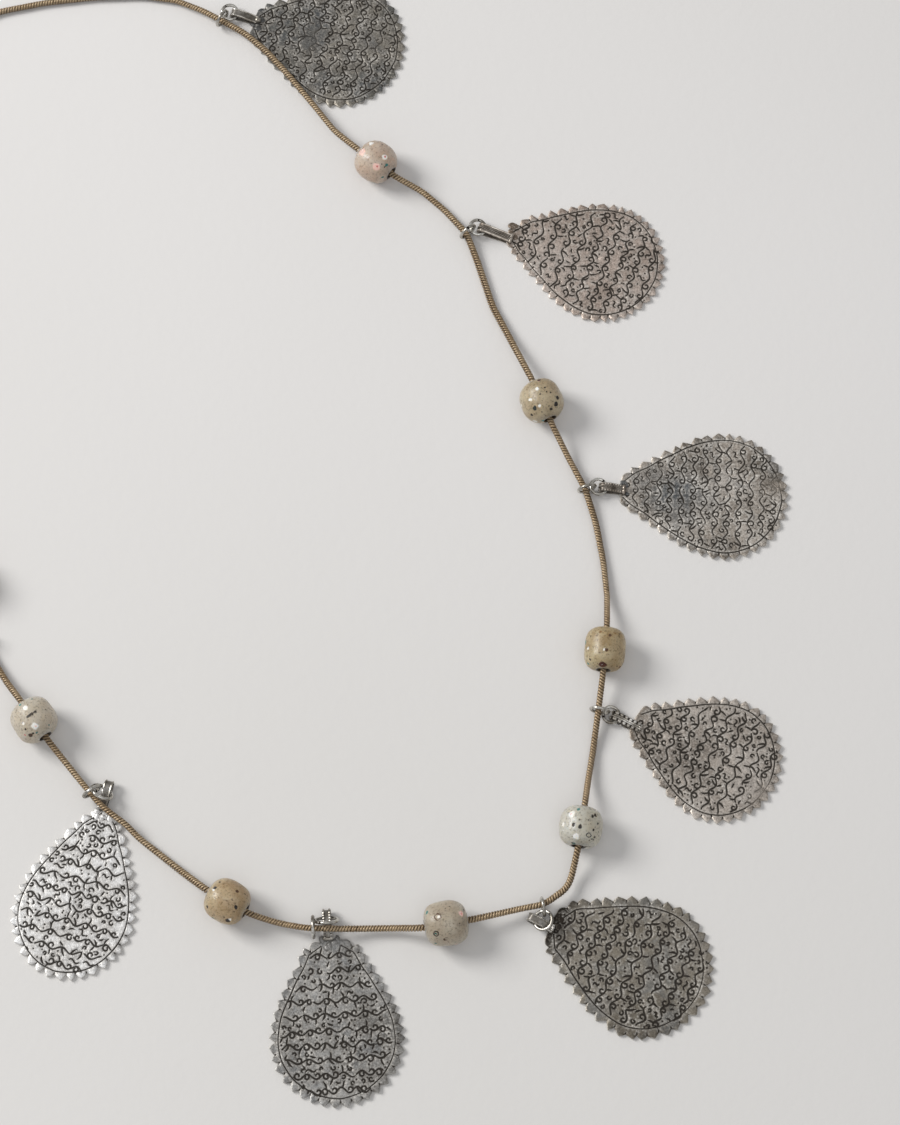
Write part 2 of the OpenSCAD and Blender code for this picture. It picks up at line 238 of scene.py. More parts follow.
class N:
    """Short way to wire shader nodes."""

    def __init__(self, nt):
        self.nt = nt

    def node(self, kind, **kw):
        n = self.nt.nodes.new(kind)
        for k, v in kw.items():
            setattr(n, k, v)
        return n

    def link(self, a, b):
        self.nt.links.new(a, b)

    def val(self, sock, v):
        if hasattr(v, "is_output") or isinstance(v, bpy.types.NodeSocket):
            self.link(v, sock)
        elif v is not None:
            sock.default_value = v

    def math(self, op, a, b=None, c=None, clamp=False):
        n = self.node("ShaderNodeMath", operation=op, use_clamp=clamp)
        self.val(n.inputs[0], a)
        if b is not None:
            self.val(n.inputs[1], b)
        if c is not None:
            self.val(n.inputs[2], c)
        return n.outputs[0]

    def mix(self, f, a, b, mode='MIX'):
        n = self.node("ShaderNodeMix", data_type='RGBA', blend_type=mode, clamp_factor=True)
        self.val(n.inputs["Factor"], f)
        self.val(n.inputs[6], a)
        self.val(n.inputs[7], b)
        return n.outputs[2]

    def ramp(self, f, stops, interp='LINEAR'):
        n = self.node("ShaderNodeValToRGB")
        n.color_ramp.interpolation = interp
        e = n.color_ramp.elements
        while len(e) < len(stops):
            e.new(0.5)
        for i, (p, c) in enumerate(stops):
            e[i].position = p
            e[i].color = c if len(c) == 4 else (*c, 1)
        self.link(f, n.inputs[0])
        return n.outputs[0]

    def rng(self, f, a, b, c, d, smooth=False):
        n = self.node("ShaderNodeMapRange", clamp=True)
        if smooth:
            n.interpolation_type = 'SMOOTHSTEP'
        self.link(f, n.inputs[0])
        for i, v in zip((1, 2, 3, 4), (a, b, c, d)):
            n.inputs[i].default_value = v
        return n.outputs[0]

    def noise(self, vec, scale, detail=4, rough=0.5, dist=0.0, kind=None):
        n = self.node("ShaderNodeTexNoise")
        self.link(vec, n.inputs["Vector"])
        n.inputs["Scale"].default_value = scale
        n.inputs["Detail"].default_value = detail
        n.inputs["Roughness"].default_value = rough
        n.inputs["Distortion"].default_value = dist
        return n.outputs[0]

    def voronoi(self, vec, scale, feature='F1', rnd=1.0, out=0):
        n = self.node("ShaderNodeTexVoronoi", feature=feature)
        self.link(vec, n.inputs["Vector"])
        n.inputs["Scale"].default_value = scale
        n.inputs["Randomness"].default_value = rnd
        return n.outputs[out]

    def attr(self, name, col=False):
        n = self.node("ShaderNodeAttribute", attribute_name=name)
        return n.outputs["Color"] if col else n.outputs["Fac"]

    def bump(self, h, strength, dist, normal=None):
        n = self.node("ShaderNodeBump")
        n.inputs["Strength"].default_value = strength
        n.inputs["Distance"].default_value = dist
        self.link(h, n.inputs["Height"])
        if normal is not None:
            self.link(normal, n.inputs["Normal"])
        return n.outputs[0]

    def scaled(self, vec, s, off=(0, 0, 0), rot=(0, 0, 0)):
        n = self.node("ShaderNodeMapping")
        self.link(vec, n.inputs["Vector"])
        n.inputs["Scale"].default_value = s
        n.inputs["Location"].default_value = off
        n.inputs["Rotation"].default_value = rot
        return n.outputs[0]

    def bsdf(self, **kw):
        b = self.node("ShaderNodeBsdfPrincipled")
        o = self.node("ShaderNodeOutputMaterial")
        self.link(b.outputs[0], o.inputs[0])
        for k, v in kw.items():
            self.val(b.inputs[k.replace("_", " ")], v)
        return b


def srgb(r, g, b):
    def c(x):
        x /= 255
        return x / 12.92 if x <= 0.04045 else ((x + 0.055) / 1.055) ** 2.4
    return (c(r), c(g), c(b), 1.0)


def paper_material():
    m, nt = new_mat("paper")
    k = N(nt)
    co = k.node("ShaderNodeTexCoord").outputs["Object"]
    fib = k.noise(k.scaled(co, (1, 1, 1)), 420, 5, 0.62)
    soft = k.noise(co, 90, 3, 0.5)
    big = k.noise(co, 3.0, 2, 0.5)
    col = k.mix(k.rng(big, 0.35, 0.65, 0.0, 1.0), PAPER_A, PAPER_B)
    h = k.math('ADD', k.math('MULTIPLY', fib, 0.7), k.math('MULTIPLY', soft, 0.5))
    nb = k.bump(h, 0.16, 0.0006)
    k.bsdf(Base_Color=col, Roughness=0.9, Specular_IOR_Level=0.15, Normal=nb)
    return m


def silver_material(name, dark, mid, light, ink=(0.034, 0.028, 0.022, 1), rough=0.42, stain=None, seed=0.0, metal=0.72, speck=0.5, cool=None, burr_wall_sheen_amount=0.6):
    """Old silver: tone patches, sandy dark specks, tarnish in the cut lines, worn burrs with a painted highlight on
    them, and a painted highlight along the rim and on the walls; the dark, mid and light colours also carry painted
    reflection.
    """
    m, nt = new_mat(name)
    k = N(nt)
    co = k.node("ShaderNodeTexCoord").outputs["Object"]
    co = k.scaled(co, (1, 1, 1), (seed * 0.37, seed * 0.73, 0))
    patch = k.noise(co, 60, 5, 0.6, 0.6)
    cloud = k.noise(co, 210, 4, 0.62, 0.4)
    grain = k.noise(co, 2100, 4, 0.72)
    grit = k.noise(co, 4600, 2, 0.6)
    t = k.rng(patch, 0.36, 0.64, 0.0, 1.0)
    col = k.ramp(t, [(0.0, dark), (0.42, mid), (1.0, light)])
    if cool is not None:
        col = k.mix(k.rng(k.noise(k.scaled(co, (1, 1, 1), (3.1, 1.7, 0)), 95, 4, 0.6, 0.8), 0.50, 0.62, 0.0, 0.55), col, cool)
    col = k.mix(k.rng(cloud, 0.46, 0.66, 0.0, 0.25), col, light)
    if stain is not None:
        sc, amount = stain
        col = k.mix(k.math('MULTIPLY', k.attr("stain"), amount, clamp=True), col, sc)
    # brown tarnish gathers beside the cuts and at the rim
    col = k.mix(k.math('MULTIPLY', k.attr("halo"), 0.62, clamp=True), col, k_halo)
    # sand-like specks, in drifts
    gate = k.rng(cloud, 0.36, 0.60, 1.0, 0.7)
    low = k.math('MULTIPLY', k.rng(grain, 0.40, 0.50, 1.0, 0.0), gate)
    col = k.mix(k.math('MULTIPLY', low, speck), col, k_speck)
    col = k.mix(k.math('MULTIPLY', k.rng(grit, 0.36, 0.46, 1.0, 0.0), speck * 0.55), col, k_speck)
    col = k.mix(k.rng(grain, 0.54, 0.68, 0.0, 0.6), col, light)
    inkv = k.attr("ink")
    wob = k.math('ADD', inkv, k.math('MULTIPLY', k.math('SUBTRACT', grain, 0.5), 0.9))
    inkw = k.rng(wob, 0.28, 0.70, 0.0, 1.0)
    col = k.mix(k.math('MULTIPLY', inkw, 0.97), col, ink)
    # painted highlight: the burr lips beside the cuts (partly real polish) and the plate's walls are lightened towards
    # near-white
    burr_wall_sheen_mask = k.math('MULTIPLY', k.attr("shine"), k.rng(grain, 0.40, 0.60, 0.25, 1.0))
    col = k.mix(k.math('MULTIPLY', burr_wall_sheen_mask, burr_wall_sheen_amount, clamp=True), col, painted_highlight_colour)
    # painted highlight along the top rim of the teeth and on the plate's walls
    edge = k.math('MULTIPLY', k.attr("edge"), k.rng(cloud, 0.38, 0.62, 0.15, 0.75))
    col = k.mix(k.math('MULTIPLY', edge, 0.6, clamp=True), col, painted_highlight_colour)
    scr = k.noise(k.scaled(co, (3600, 190, 1), (0, 0, 0), (0, 0, 0.5 + seed)), 1.0, 2, 0.5)
    h = k.math('ADD', k.math('MULTIPLY', grain, 1.0), k.math('MULTIPLY', scr, 0.22))
    h2 = k.math('ADD', h, k.math('MULTIPLY', cloud, 2.0))
    nb = k.bump(h2, 0.55, 0.00013)
    rg = k.math('ADD', k.rng(patch, 0.3, 0.7, rough + 0.10, rough - 0.06), k.math('MULTIPLY', inkw, 0.3), clamp=True)
    k.bsdf(Base_Color=col, Metallic=metal, Roughness=rg, Normal=nb)
    return m


k_halo = srgb(70, 60, 48)
k_speck = srgb(52, 46, 40)
# near-white of the painted highlights on burrs, rim and walls
painted_highlight_colour = srgb(244, 240, 232)


def wire_material(name, dark, mid, light, rough=0.25):
    m, nt = new_mat(name)
    k = N(nt)
    co = k.node("ShaderNodeTexCoord").outputs["Object"]
    a = k.noise(co, 300, 4, 0.6)
    b = k.noise(co, 1800, 3, 0.65)
    col = k.ramp(k.rng(a, 0.35, 0.65, 0, 1), [(0, dark), (0.45, mid), (1, light)])
    col = k.mix(k.rng(b, 0.38, 0.50, 0.6, 0.0), col, dark)
    ink = k.attr("ink")
    col = k.mix(k.rng(ink, 0.15, 0.75, 0, 1), col, srgb(40, 33, 26))
    nb = k.bump(k.math('ADD', a, k.math('MULTIPLY', b, 0.5)), 0.25, 0.00015)
    rg = k.math('ADD', k.rng(a, 0.3, 0.7, rough + 0.12, rough - 0.04), k.math('MULTIPLY', ink, 0.3))
    k.bsdf(Base_Color=col, Metallic=0.85, Roughness=rg, Normal=nb)
    return m


def chain_material():
    m, nt = new_mat("chain_metal")
    k = N(nt)
    co = k.node("ShaderNodeTexCoord").outputs["Object"]
    a = k.noise(co, 150, 4, 0.6)
    b = k.noise(co, 1700, 3, 0.65)
    # painted light: each link wire goes cream on its outer crest and dark brown where it turns in between links
    top = k.attr("crest")
    col = k.ramp(top, [(0.0, srgb(42, 30, 20)), (0.40, srgb(90, 71, 50)), (0.74, srgb(140, 119, 92)), (1.0, srgb(188, 166, 134))])
    col = k.mix(k.rng(a, 0.46, 0.64, 0.0, 0.45), col, srgb(130, 104, 70))
    col = k.mix(k.rng(b, 0.40, 0.50, 0.45, 0.0), col, srgb(80, 62, 42))
    nb = k.bump(b, 0.2, 0.0001)
    k.bsdf(Base_Color=col, Metallic=0.35, Roughness=k.rng(a, 0.3, 0.7, 0.42, 0.30), Normal=nb)
    return m


# a dark brown tube inside the link wires: painted shade seen through the gaps between links and through the beads
def chain_shade_core_material():
    m, nt = new_mat("chain_shade_core")
    k = N(nt)
    co = k.node("ShaderNodeTexCoord").outputs["Object"]
    a = k.noise(co, 800, 3, 0.6)
    col = k.ramp(a, [(0.3, srgb(30, 22, 14)), (0.7, srgb(58, 44, 30))])
    k.bsdf(Base_Color=col, Metallic=0.5, Roughness=0.6, Normal=k.bump(a, 0.3, 0.0001))
    return m


def bead_material(name, body, deep, haze, seed):
    """Worn translucent glass: sandy specks, milky patches, coloured spots from the point colours."""
    m, nt = new_mat(name)
    k = N(nt)
    co = k.node("ShaderNodeTexCoord").outputs["Object"]
    co = k.scaled(co, (1, 1, 1), (seed * 0.11, seed * 0.19, seed * 0.07))
    cloud = k.noise(co, 230, 4, 0.6, 0.3)
    sand = k.noise(co, 1900, 4, 0.72)
    col = k.mix(k.rng(cloud, 0.38, 0.66, 0.0, 1.0), body, haze)
    col = k.mix(k.rng(sand, 0.36, 0.47, 0.75, 0.0), col, deep)
    col = k.mix(k.rng(sand, 0.58, 0.70, 0.0, 0.35), col, srgb(230, 222, 204))
    # single dark grains
    spk = k.voronoi(co, 620, 'F1')
    some = k.rng(k.noise(co, 330, 2, 0.5), 0.50, 0.58, 0.0, 1.0)
    dots = k.math('MULTIPLY', k.rng(spk, 0.10, 0.17, 1.0, 0.0), some)
    col = k.mix(k.math('MULTIPLY', dots, 0.85), col, srgb(64, 50, 36))
    spot = k.attr("spot", True)
    amount = k.attr("spot_on")
    wob = k.math('ADD', amount, k.math('MULTIPLY', k.math('SUBTRACT', sand, 0.5), 0.9))
    on = k.rng(wob, 0.40, 0.62, 0.0, 1.0)
    col = k.mix(on, col, spot)
    # painted shade: the bore and the mouths of the hole are darkened here; the pit marks get their colour through the
    # spots
    pit = k.attr("pit")
    col = k.mix(k.rng(pit, 0.3, 0.8, 0.0, 1.0), col, srgb(40, 34, 26))
    h = k.math('ADD', k.math('MULTIPLY', sand, 0.6), k.math('MULTIPLY', cloud, 0.9))
    nb = k.bump(h, 0.5, 0.00016)
    tr = k.math('SUBTRACT', 0.36, k.math('MULTIPLY', on, 0.36), clamp=True)
    b = k.bsdf(Base_Color=col, Roughness=k.rng(cloud, 0.3, 0.7, 0.42, 0.28), IOR=1.46, Normal=nb,
               Transmission_Weight=tr, Subsurface_Weight=0.85, Subsurface_Scale=0.010)
    b.inputs["Subsurface Radius"].default_value = (1.0, 0.88, 0.72)
    return m


PAPER_A = srgb(219, 217, 215)
PAPER_B = srgb(214, 212, 209)

# ------------------------------------------------------------- camera, light
scene = bpy.context.scene
scene.view_settings.view_transform = "Standard"
cam_d = bpy.data.cameras.new("camera")
cam = bpy.data.objects.new("camera", cam_d)
scene.collection.objects.link(cam)
scene.camera = cam
CAM_AT = Vector((-MID[0] * MM, -MID[1] * MM, 0.0))
el = math.radians(72.0)
cam.location = CAM_AT + Vector((0, -math.cos(el), math.sin(el))) * 0.8
cam.rotation_euler = (CAM_AT - cam.location).to_track_quat('-Z', 'Y').to_euler()
cam_d.sensor_fit = 'VERTICAL'
cam_d.sensor_height = 36.0
cam_d.sensor_width = 28.8
cam_d.lens = 3360.0 / 1125.0 * 36.0
cam_d.clip_start = 0.01
cam_d.clip_end = 20.0

world = bpy.data.worlds.new("studio")
scene.world = world
world.use_nodes = True
bg = world.node_tree.nodes.get("Background") or world.node_tree.nodes.new("ShaderNodeBackground")
bg.inputs[0].default_value = (0.975, 0.98, 1.0, 1)
bg.inputs[1].default_value = 0.44


def area(name, at, aim, size, power, colour=(1, 1, 1)):
    d = bpy.data.lights.new(name, 'AREA')
    d.shape = 'RECTANGLE'
    d.size, d.size_y = size
    d.energy = power
    d.color = colour
    o = bpy.data.objects.new(name, d)
    scene.collection.objects.link(o)
    o.location = at
    o.rotation_euler = (Vector(aim) - Vector(at)).to_track_quat('-Z', 'Y').to_euler()
    return o


area("window_light", (-1.15, 0.45, 1.05), (0.05, -0.02, 0), (0.7, 0.7), 22.0, (1.0, 0.992, 0.98))
area("fill", (0.2, -0.6, 1.6), (0.04, 0, 0), (1.2, 1.2), 4.2, (0.985, 0.99, 1.0))

floor = mesh_object("floor", [(-3, -3, -0.00004), (3, -3, -0.00004), (3, 3, -0.00004), (-3, 3, -0.00004)], [(0, 1, 2, 3)],
                    smooth=False, mats=[paper_material()])

# ---------------------------------------------------------------------- chain
route = np.array(ROUTE, float)


def resample(p, step):
    d = np.linalg.norm(np.diff(p, axis=0), axis=1)
    s = np.concatenate([[0], np.cumsum(d)])
    n = int(s[-1] / step) + 1
    t = np.linspace(0, s[-1], n)
    return np.stack([np.interp(t, s, p[:, i]) for i in range(3)], 1), t


fine, fs = resample(route, 0.25)
kern = np.exp(-0.5 * (np.arange(-16, 17) * 0.25 / 1.1) ** 2)
kern /= kern.sum()
pad = np.concatenate([fine[0] + (fine[0] - fine[1]) * np.arange(16, 0, -1)[:, None], fine,
                      fine[-1] + (fine[-1] - fine[-2]) * np.arange(1, 17)[:, None]])
line = np.stack([np.convolve(pad[:, i], kern, mode='valid') for i in range(3)], 1)
ls = np.concatenate([[0], np.cumsum(np.linalg.norm(np.diff(line, axis=0), axis=1))])
LEN = ls[-1]


def along(s):
    s = np.clip(s, 0, LEN)
    return np.stack([np.interp(s, ls, line[:, i]) for i in range(3)], -1)


def frame_at(s):
    t = along(np.asarray(s) + 0.3) - along(np.asarray(s) - 0.3)
    t /= np.linalg.norm(t, axis=-1)[..., None]
    left = np.cross(np.array([0, 0, 1.0]), t)
    left /= np.linalg.norm(left, axis=-1)[..., None]
    up = np.cross(t, left)
    return t, left, up


def twist(s):
    return 0.34 * math.sin(s / 15.0 + 0.6) + 0.34 * math.sin(s / 33.0 + 2.1) + 0.16 * math.sin(s / 7.3)


def build_chain():
    pitch = 0.69
    count = int(LEN / pitch)
    seg = 8
    sides = 6
    wr = 0.248
    phi = np.radians(np.linspace(-98, 98, seg + 1))
    out = [Pile(), Pile()]
    rng = np.random.default_rng(7)
    for k in range(count):
        for fam in (0, 1):
            s0 = (k + 0.5 * fam + 0.25) * pitch + rng.normal(0, 0.02)
            if s0 > LEN - 0.3:
                continue
            a0 = twist(s0) + math.pi * fam
            rr = (CHAIN_R + 0.04 - wr) * (1 + rng.normal(0, 0.012))
            r = rr * (1 - 0.34 * (np.abs(phi) / phi[-1]) ** 3)
            s = s0 + 0.62 * rr * np.sin(phi)
            c = along(s)
            t, left, up = frame_at(s0)
            U = math.cos(a0) * up + math.sin(a0) * left
            Lf = -math.sin(a0) * up + math.cos(a0) * left
            p = c + r[:, None] * (np.cos(phi)[:, None] * U + np.sin(phi)[:, None] * Lf)
            # a flattened wire, thinner where it dives in
            w = wr * (1 - 0.28 * (np.abs(phi) / phi[-1]) ** 2)
            d = np.gradient(p, axis=0)
            d /= np.linalg.norm(d, axis=1)[:, None]
            rad = (p - c)
            rad /= np.linalg.norm(rad, axis=1)[:, None] + 1e-9
            side = np.cross(rad, d)
            side /= np.linalg.norm(side, axis=1)[:, None] + 1e-9
            kk = np.arange(sides) * 2 * math.pi / sides
            v = p[:, None, :] + w[:, None, None] * (np.cos(kk)[None, :, None] * rad[:, None, :]
                                                   + 1.26 * np.sin(kk)[None, :, None] * side[:, None, :])
            # painted highlight on the outward side of each link wire, painted shade on its inward side and where it
            # dives in
            crest = (0.5 + 0.5 * np.cos(kk))[None, :] * np.ones((len(p), 1)) * (1 - 0.45 * (np.abs(phi) / phi[-1]) ** 4)[:, None]
            f = []
            for i in range(seg):
                for j in range(sides):
                    j2 = (j + 1) % sides
                    f.append((i * sides + j, (i + 1) * sides + j, (i + 1) * sides + j2, i * sides + j2))
            f.append(tuple(range(sides)))
            f.append(tuple(seg * sides + j for j in range(sides - 1, -1, -1)))
            out[0 if k < count // 2 else 1].add((v.reshape(-1, 3) - (MID[0], MID[1], 0)) * MM, f, crest=crest.ravel())
    mat = chain_material()
    a = out[0].build("chain_links_1", [mat])
    b = out[1].build("chain_links_2", [mat])
    cs = np.arange(0, LEN, 1.1)
    # the dark inner tube stands in for the shade inside the chain
    shade_core, cf = tube((along(cs) - (MID[0], MID[1], 0)) * MM, 0.56 * MM, 8)
    c = mesh_object("chain_shade_core", shade_core, cf, mats=[chain_shade_core_material()])
    for o in (a, b, c):
        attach(o, "root")
        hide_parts("chain")


# --------------------------------------------------------------------- drops
def curve4(a, b, c, d, t):
    return 0.5 * (2 * b + (c - a) * t + (2 * a - 5 * b + 4 * c - d) * t * t + (3 * b - a - 3 * c + d) * t ** 3)


def drop_side(l, w, f, g):
    out = []
    n = len(DROP)
    for i in range(n - 1):
        a = DROP[max(i - 1, 0)]
        b = DROP[i]
        c = DROP[i + 1]
        d = DROP[i + 2] if i + 2 < n else (DROP[-1][0], -DROP[-2][1])
        for k in range(6):
            u = curve4(a[0], b[0], c[0], d[0], k / 6)
            v = curve4(a[1], b[1], c[1], d[1], k / 6)
            out.append((u * l, max(0, v * w / 2 + f * min(1, u / 0.06) * max(0, 1 - u) ** 1.5 - g * max(0, 1 - u * l / 4))))
    out.append((l, 0.0))
    return np.array(out)


class Outline:
    """One side of a drop; other is the other side."""

    def __init__(self, l, w, f, g, g2=None):
        self.l, self.w = l, w
        self.other = Outline(l, w, f, g2) if g2 is not None else None
        self.side = drop_side(l, w, f, g)
        d = np.linalg.norm(np.diff(self.side, axis=0), axis=1)
        self.run = np.concatenate([[0], np.cumsum(d)])
        self.all = self.run[-1]
        self.corner = float(self.run[np.argmax(self.side[:, 0] > 0.02 * l)])

    def at(self, s):
        return np.array([np.interp(s, self.run, self.side[:, 0]), np.interp(s, self.run, self.side[:, 1])])

    def inward(self, s, depth, reach=0.4):
        a, b = self.at(max(0, s - reach)), self.at(min(self.all, s + reach))
        t = (b - a) / (np.linalg.norm(b - a) + 1e-9)
        return self.at(s) + depth * np.array([t[1], -t[0]])

    def half(self, u):
        h = np.interp(u, self.side[:, 0], self.side[:, 1])
        return h if self.other is None else min(h, self.other.half(u))

    def run_in(self, depth):
        s = np.arange(0.4, self.all, 0.3)
        a = np.array([self.inward(x, depth, 1.2) for x in s])
        return a[(a[:, 1] > 0.2) & (a[:, 0] > depth * 0.6)]

    def line(self, depth):
        """Line inside the whole outline at one depth, round both sides."""
        return np.concatenate([self.run_in(depth), self.other.run_in(depth)[::-1] * np.array([1, -1])])


def rim_polygon(o, count, rng):
    """Filed teeth, each a little different, and where their notches lie."""
    n = count // 2
    notches = []

    def one(sign, o):
        pts = []
        step = o.all / n
        cuts = [0.02] + [(i + rng.normal(0, 0.07)) * step for i in range(1, n)] + [o.all - 0.02]
        deep = [TOOTH_D * (1 + rng.normal(0, 0.16)) for _ in cuts]
        for i in range(n):
            a, b = cuts[i], cuts[i + 1]
            q = o.inward(a, deep[i])
            pts.append(q)
            if i:
                notches.append((q * np.array([1, sign]), sign, a))
            near_tip = math.exp(-((a + b) / 2 - o.corner) ** 2 / 4.5)
            tip = rng.uniform(-0.02, 0.14) + 0.30 * near_tip
            c = a + (b - a) * (0.5 + rng.normal(0, 0.07))
            w = (b - a) * (rng.uniform(0.03, 0.08) + 0.14 * near_tip)
            pts.append(o.inward(a + (c - w - a) * 0.5, (deep[i] + tip) / 2 + rng.normal(0, 0.03)))
            pts.append(o.inward(c - w, tip + 0.07))
            pts.append(o.inward(c, tip - 0.02))
            pts.append(o.inward(c + w, tip + 0.07))
            pts.append(o.inward(b + (c + w - b) * 0.5, (deep[i + 1] + tip) / 2 + rng.normal(0, 0.03)))
        return pts
    a, b = one(1, o), one(-1, o.other)
    end = np.array([o.l - TOOTH_D, 0.0])
    notches.append((end, 1, o.all))
    poly = [np.array([TOOTH_D * 0.4, 0.0])] + a + [end] + [np.array([p[0], -p[1]]) for p in b[::-1]]
    out = [poly[0]]
    for p in poly[1:]:
        if np.linalg.norm(p - out[-1]) > 0.10:
            out.append(p)
    return np.array(out), notches


def dense(poly, step):
    out = []
    n = len(poly)
    for i in range(n):
        a, b = poly[i], poly[(i + 1) % n]
        k = max(1, int(np.ceil(np.linalg.norm(b - a) / step)))
        for j in range(k):
            out.append(a + (b - a) * j / k)
    return np.array(out)


def inset(poly, d):
    """Moves each point of a closed left-or-right-turning polygon inwards by d."""
    n = len(poly)
    area2 = np.sum(poly[:, 0] * np.roll(poly[:, 1], -1) - np.roll(poly[:, 0], -1) * poly[:, 1])
    sg = 1 if area2 > 0 else -1
    out = []
    for i in range(n):
        a, b, c = poly[i - 1], poly[i], poly[(i + 1) % n]
        t1 = (b - a) / (np.linalg.norm(b - a) + 1e-9)
        t2 = (c - b) / (np.linalg.norm(c - b) + 1e-9)
        n1 = sg * np.array([-t1[1], t1[0]])
        n2 = sg * np.array([-t2[1], t2[0]])
        m = n1 + n2
        q = np.linalg.norm(m)
        m = n1 if q < 0.2 else m / q
        k = min(1.6, 1 / max(0.35, float(np.dot(m, n1))))
        out.append(b + m * d * k)
    return np.array(out)


def strokes_for(o, seed, margin, line=0.34, pitch0=3.1):
    """Rows of running scrollwork across the drop: a wavy stem with curled tendrils, leaves and seed dots;
    sprigs and small curls fill what stays open."""
    rng = np.random.default_rng(seed)
    S = []          # (points, width at points, depth)
    cell = 0.1
    gw, gh = int(o.l / cell) + 20, int(o.w / cell) + 60
    used = np.zeros((gw, gh), bool)

    def cells(q):
        return np.clip((q[:, 0] / cell).astype(int), 0, gw - 1), np.clip((q[:, 1] / cell + gh / 2).astype(int), 0, gh - 1)

    def inside(q, slack=0.0):
        return 0.5 < q[0] < o.l - margin - 0.2 and abs(q[1]) < o.half(q[0]) - margin - 0.1 + slack

    def put(pts, w, depth):
        S.append((pts, w, depth))
        k = int(np.ceil((w.max() / 2 + 0.24) / cell))
        fine_ = np.concatenate([pts[:-1] + (pts[1:] - pts[:-1]) * t for t in (0, 0.5)] + [pts[-1:]])
        x, y = cells(fine_)
        for i in range(-k, k + 1):
            for j in range(-k, k + 1):
                if i * i + j * j <= k * k:
                    used[np.clip(x + i, 0, gw - 1), np.clip(y + j, 0, gh - 1)] = True

    def add(pts, w0, w1, wm=None, depth=0.15, check=False):
        pts = np.array(pts, float)
        ok = np.array([inside(q) for q in pts])
        if not ok.all():
            if check:
                return False
            k = np.argmin(ok)
            if k < 3:
                return False
            pts = pts[:k]
        if check:
            x, y = cells(pts)
            if used[x, y].any():
                return False
        t = np.linspace(0, 1, len(pts))
        wm = wm if wm is not None else max(w0, w1)
        w = np.where(t < 0.5, w0 + (wm - w0) * np.sin(t * math.pi), w1 + (wm - w1) * np.sin(t * math.pi))
        put(pts, w, depth)
        return True

    def curve(base, tipp, sway, n=7):
        m = (base + tipp) / 2 + sway
        return [(1 - q) ** 2 * base + 2 * q * (1 - q) * m + q * q * tipp for q in np.linspace(0, 1, n)]

    def leaf(base, tipp, sway, w=0.44, check=False):
        return add(curve(base, tipp, sway), line * 0.8, line * 0.45, w, check=check)

    def curl(cen, rad, a0, turn, sweep, tight=0.58):
        n = 15
        return [cen + rad * (1 - tight * j / (n - 1)) * np.array([math.cos(a0 + turn * sweep * j / (n - 1)),
                                                                 math.sin(a0 + turn * sweep * j / (n - 1))]) for j in range(n)]

    first, last = 4.4, o.l - margin - 1.5
    rows = int(round((last - first) / pitch0))
    pitch = (last - first) / rows
    for r in range(rows + 1):
        u0 = first + r * pitch
        a = o.half(u0) - margin - 0.35
        if a < 0.9:
            continue
        nw = max(1, round(2 * a / rng.uniform(3.9, 4.9)))
        lam = 2 * a / nw
        ph = rng.uniform(0, 2 * math.pi) if nw > 1 else 0.0
        amp = rng.uniform(0.50, 0.68)
        bow = rng.uniform(-0.5, 0.5)

        def stem(v):
            return u0 + amp * math.sin(2 * math.pi * v / lam + ph) + bow * (v / max(a, 1)) ** 2
        v = -a
        while v < a - 0.3:
            e = min(a, v + rng.uniform(2.2, 5.2))
            vs = np.arange(v, e + 0.01, 0.22)
            if len(vs) > 2:
                add([(stem(x), x) for x in vs], line * 0.9, line * 0.7, line * 1.15)
            v = e + rng.uniform(0.30, 0.55)
        for i in range(int(2 * nw) + 1):
            vc = -a + (i + 0.5 - (ph / math.pi) % 1.0) * lam / 2
            if not -a + 0.3 < vc < a - 0.3:
                continue
            sgn = 1 if math.sin(2 * math.pi * vc / lam + ph) < 0 else -1
            kind = rng.random()
            rad = rng.uniform(0.62, 0.86)
            turn = rng.choice([-1, 1])
            base = np.array([stem(vc), vc])
            cen = base + np.array([sgn * (rad + 0.05), turn * 0.2])
            if kind < 0.62:
                add(curl(cen, rad, math.atan2(-turn * 0.2, -sgn * (rad + 0.05)), turn, math.pi * rng.uniform(1.45, 1.75)), line, line * 0.85, line * 1.15)
            elif kind < 0.80:
                leaf(base + np.array([sgn * 0.1, 0.0]), base + np.array([sgn * rng.uniform(1.3, 1.8), turn * rng.uniform(0.4, 1.0)]), np.array([0, turn * -0.4]), line * 1.3)
            vb = vc + rng.uniform(-0.6, 0.6)
            b2 = np.array([stem(vb) - sgn * 0.32, vb])
            if rng.random() < 0.4:
                leaf(b2, b2 + np.array([-sgn * rng.uniform(0.8, 1.3), rng.uniform(-0.6, 0.6)]), rng.uniform(-0.3, 0.3, 2), line * 1.1)
    # filling
    tries = 1500
    for _ in range(tries):
        c = np.array([rng.uniform(2.2, o.l - margin), rng.uniform(-o.w / 2, o.w / 2)])
        if not inside(c):
            continue
        x, y = cells(c[None])
        if used[x, y].any():
            continue
        ang = rng.uniform(0, 2 * math.pi)
        d = np.array([math.cos(ang), math.sin(ang)])
        nrm = np.array([-d[1], d[0]])
        kind = rng.random()
        if kind < 0.44:
            add(curl(c, rng.uniform(0.42, 0.72), ang, rng.choice([-1, 1]), math.pi * rng.uniform(1.3, 1.7)), line, line * 0.8, line * 1.1, check=True)
        elif kind < 0.74:
            ln = rng.uniform(1.2, 2.4)
            add([c + d * (t - 0.5) * ln + nrm * 0.34 * math.sin(t * 2 * math.pi) for t in np.linspace(0, 1, 11)], line * 0.7, line * 0.7, line * 1.15, check=True)
        elif kind < 0.84:
            ln = rng.uniform(0.6, 1.2)
            leaf(c - d * ln / 2, c + d * ln / 2, nrm * rng.uniform(-0.35, 0.35), line * 1.2, check=True)
        else:
            w = line * rng.uniform(0.95, 1.25)
            put(np.array([c, c + 0.01]), np.array([w, w]), 0.14)
    return S


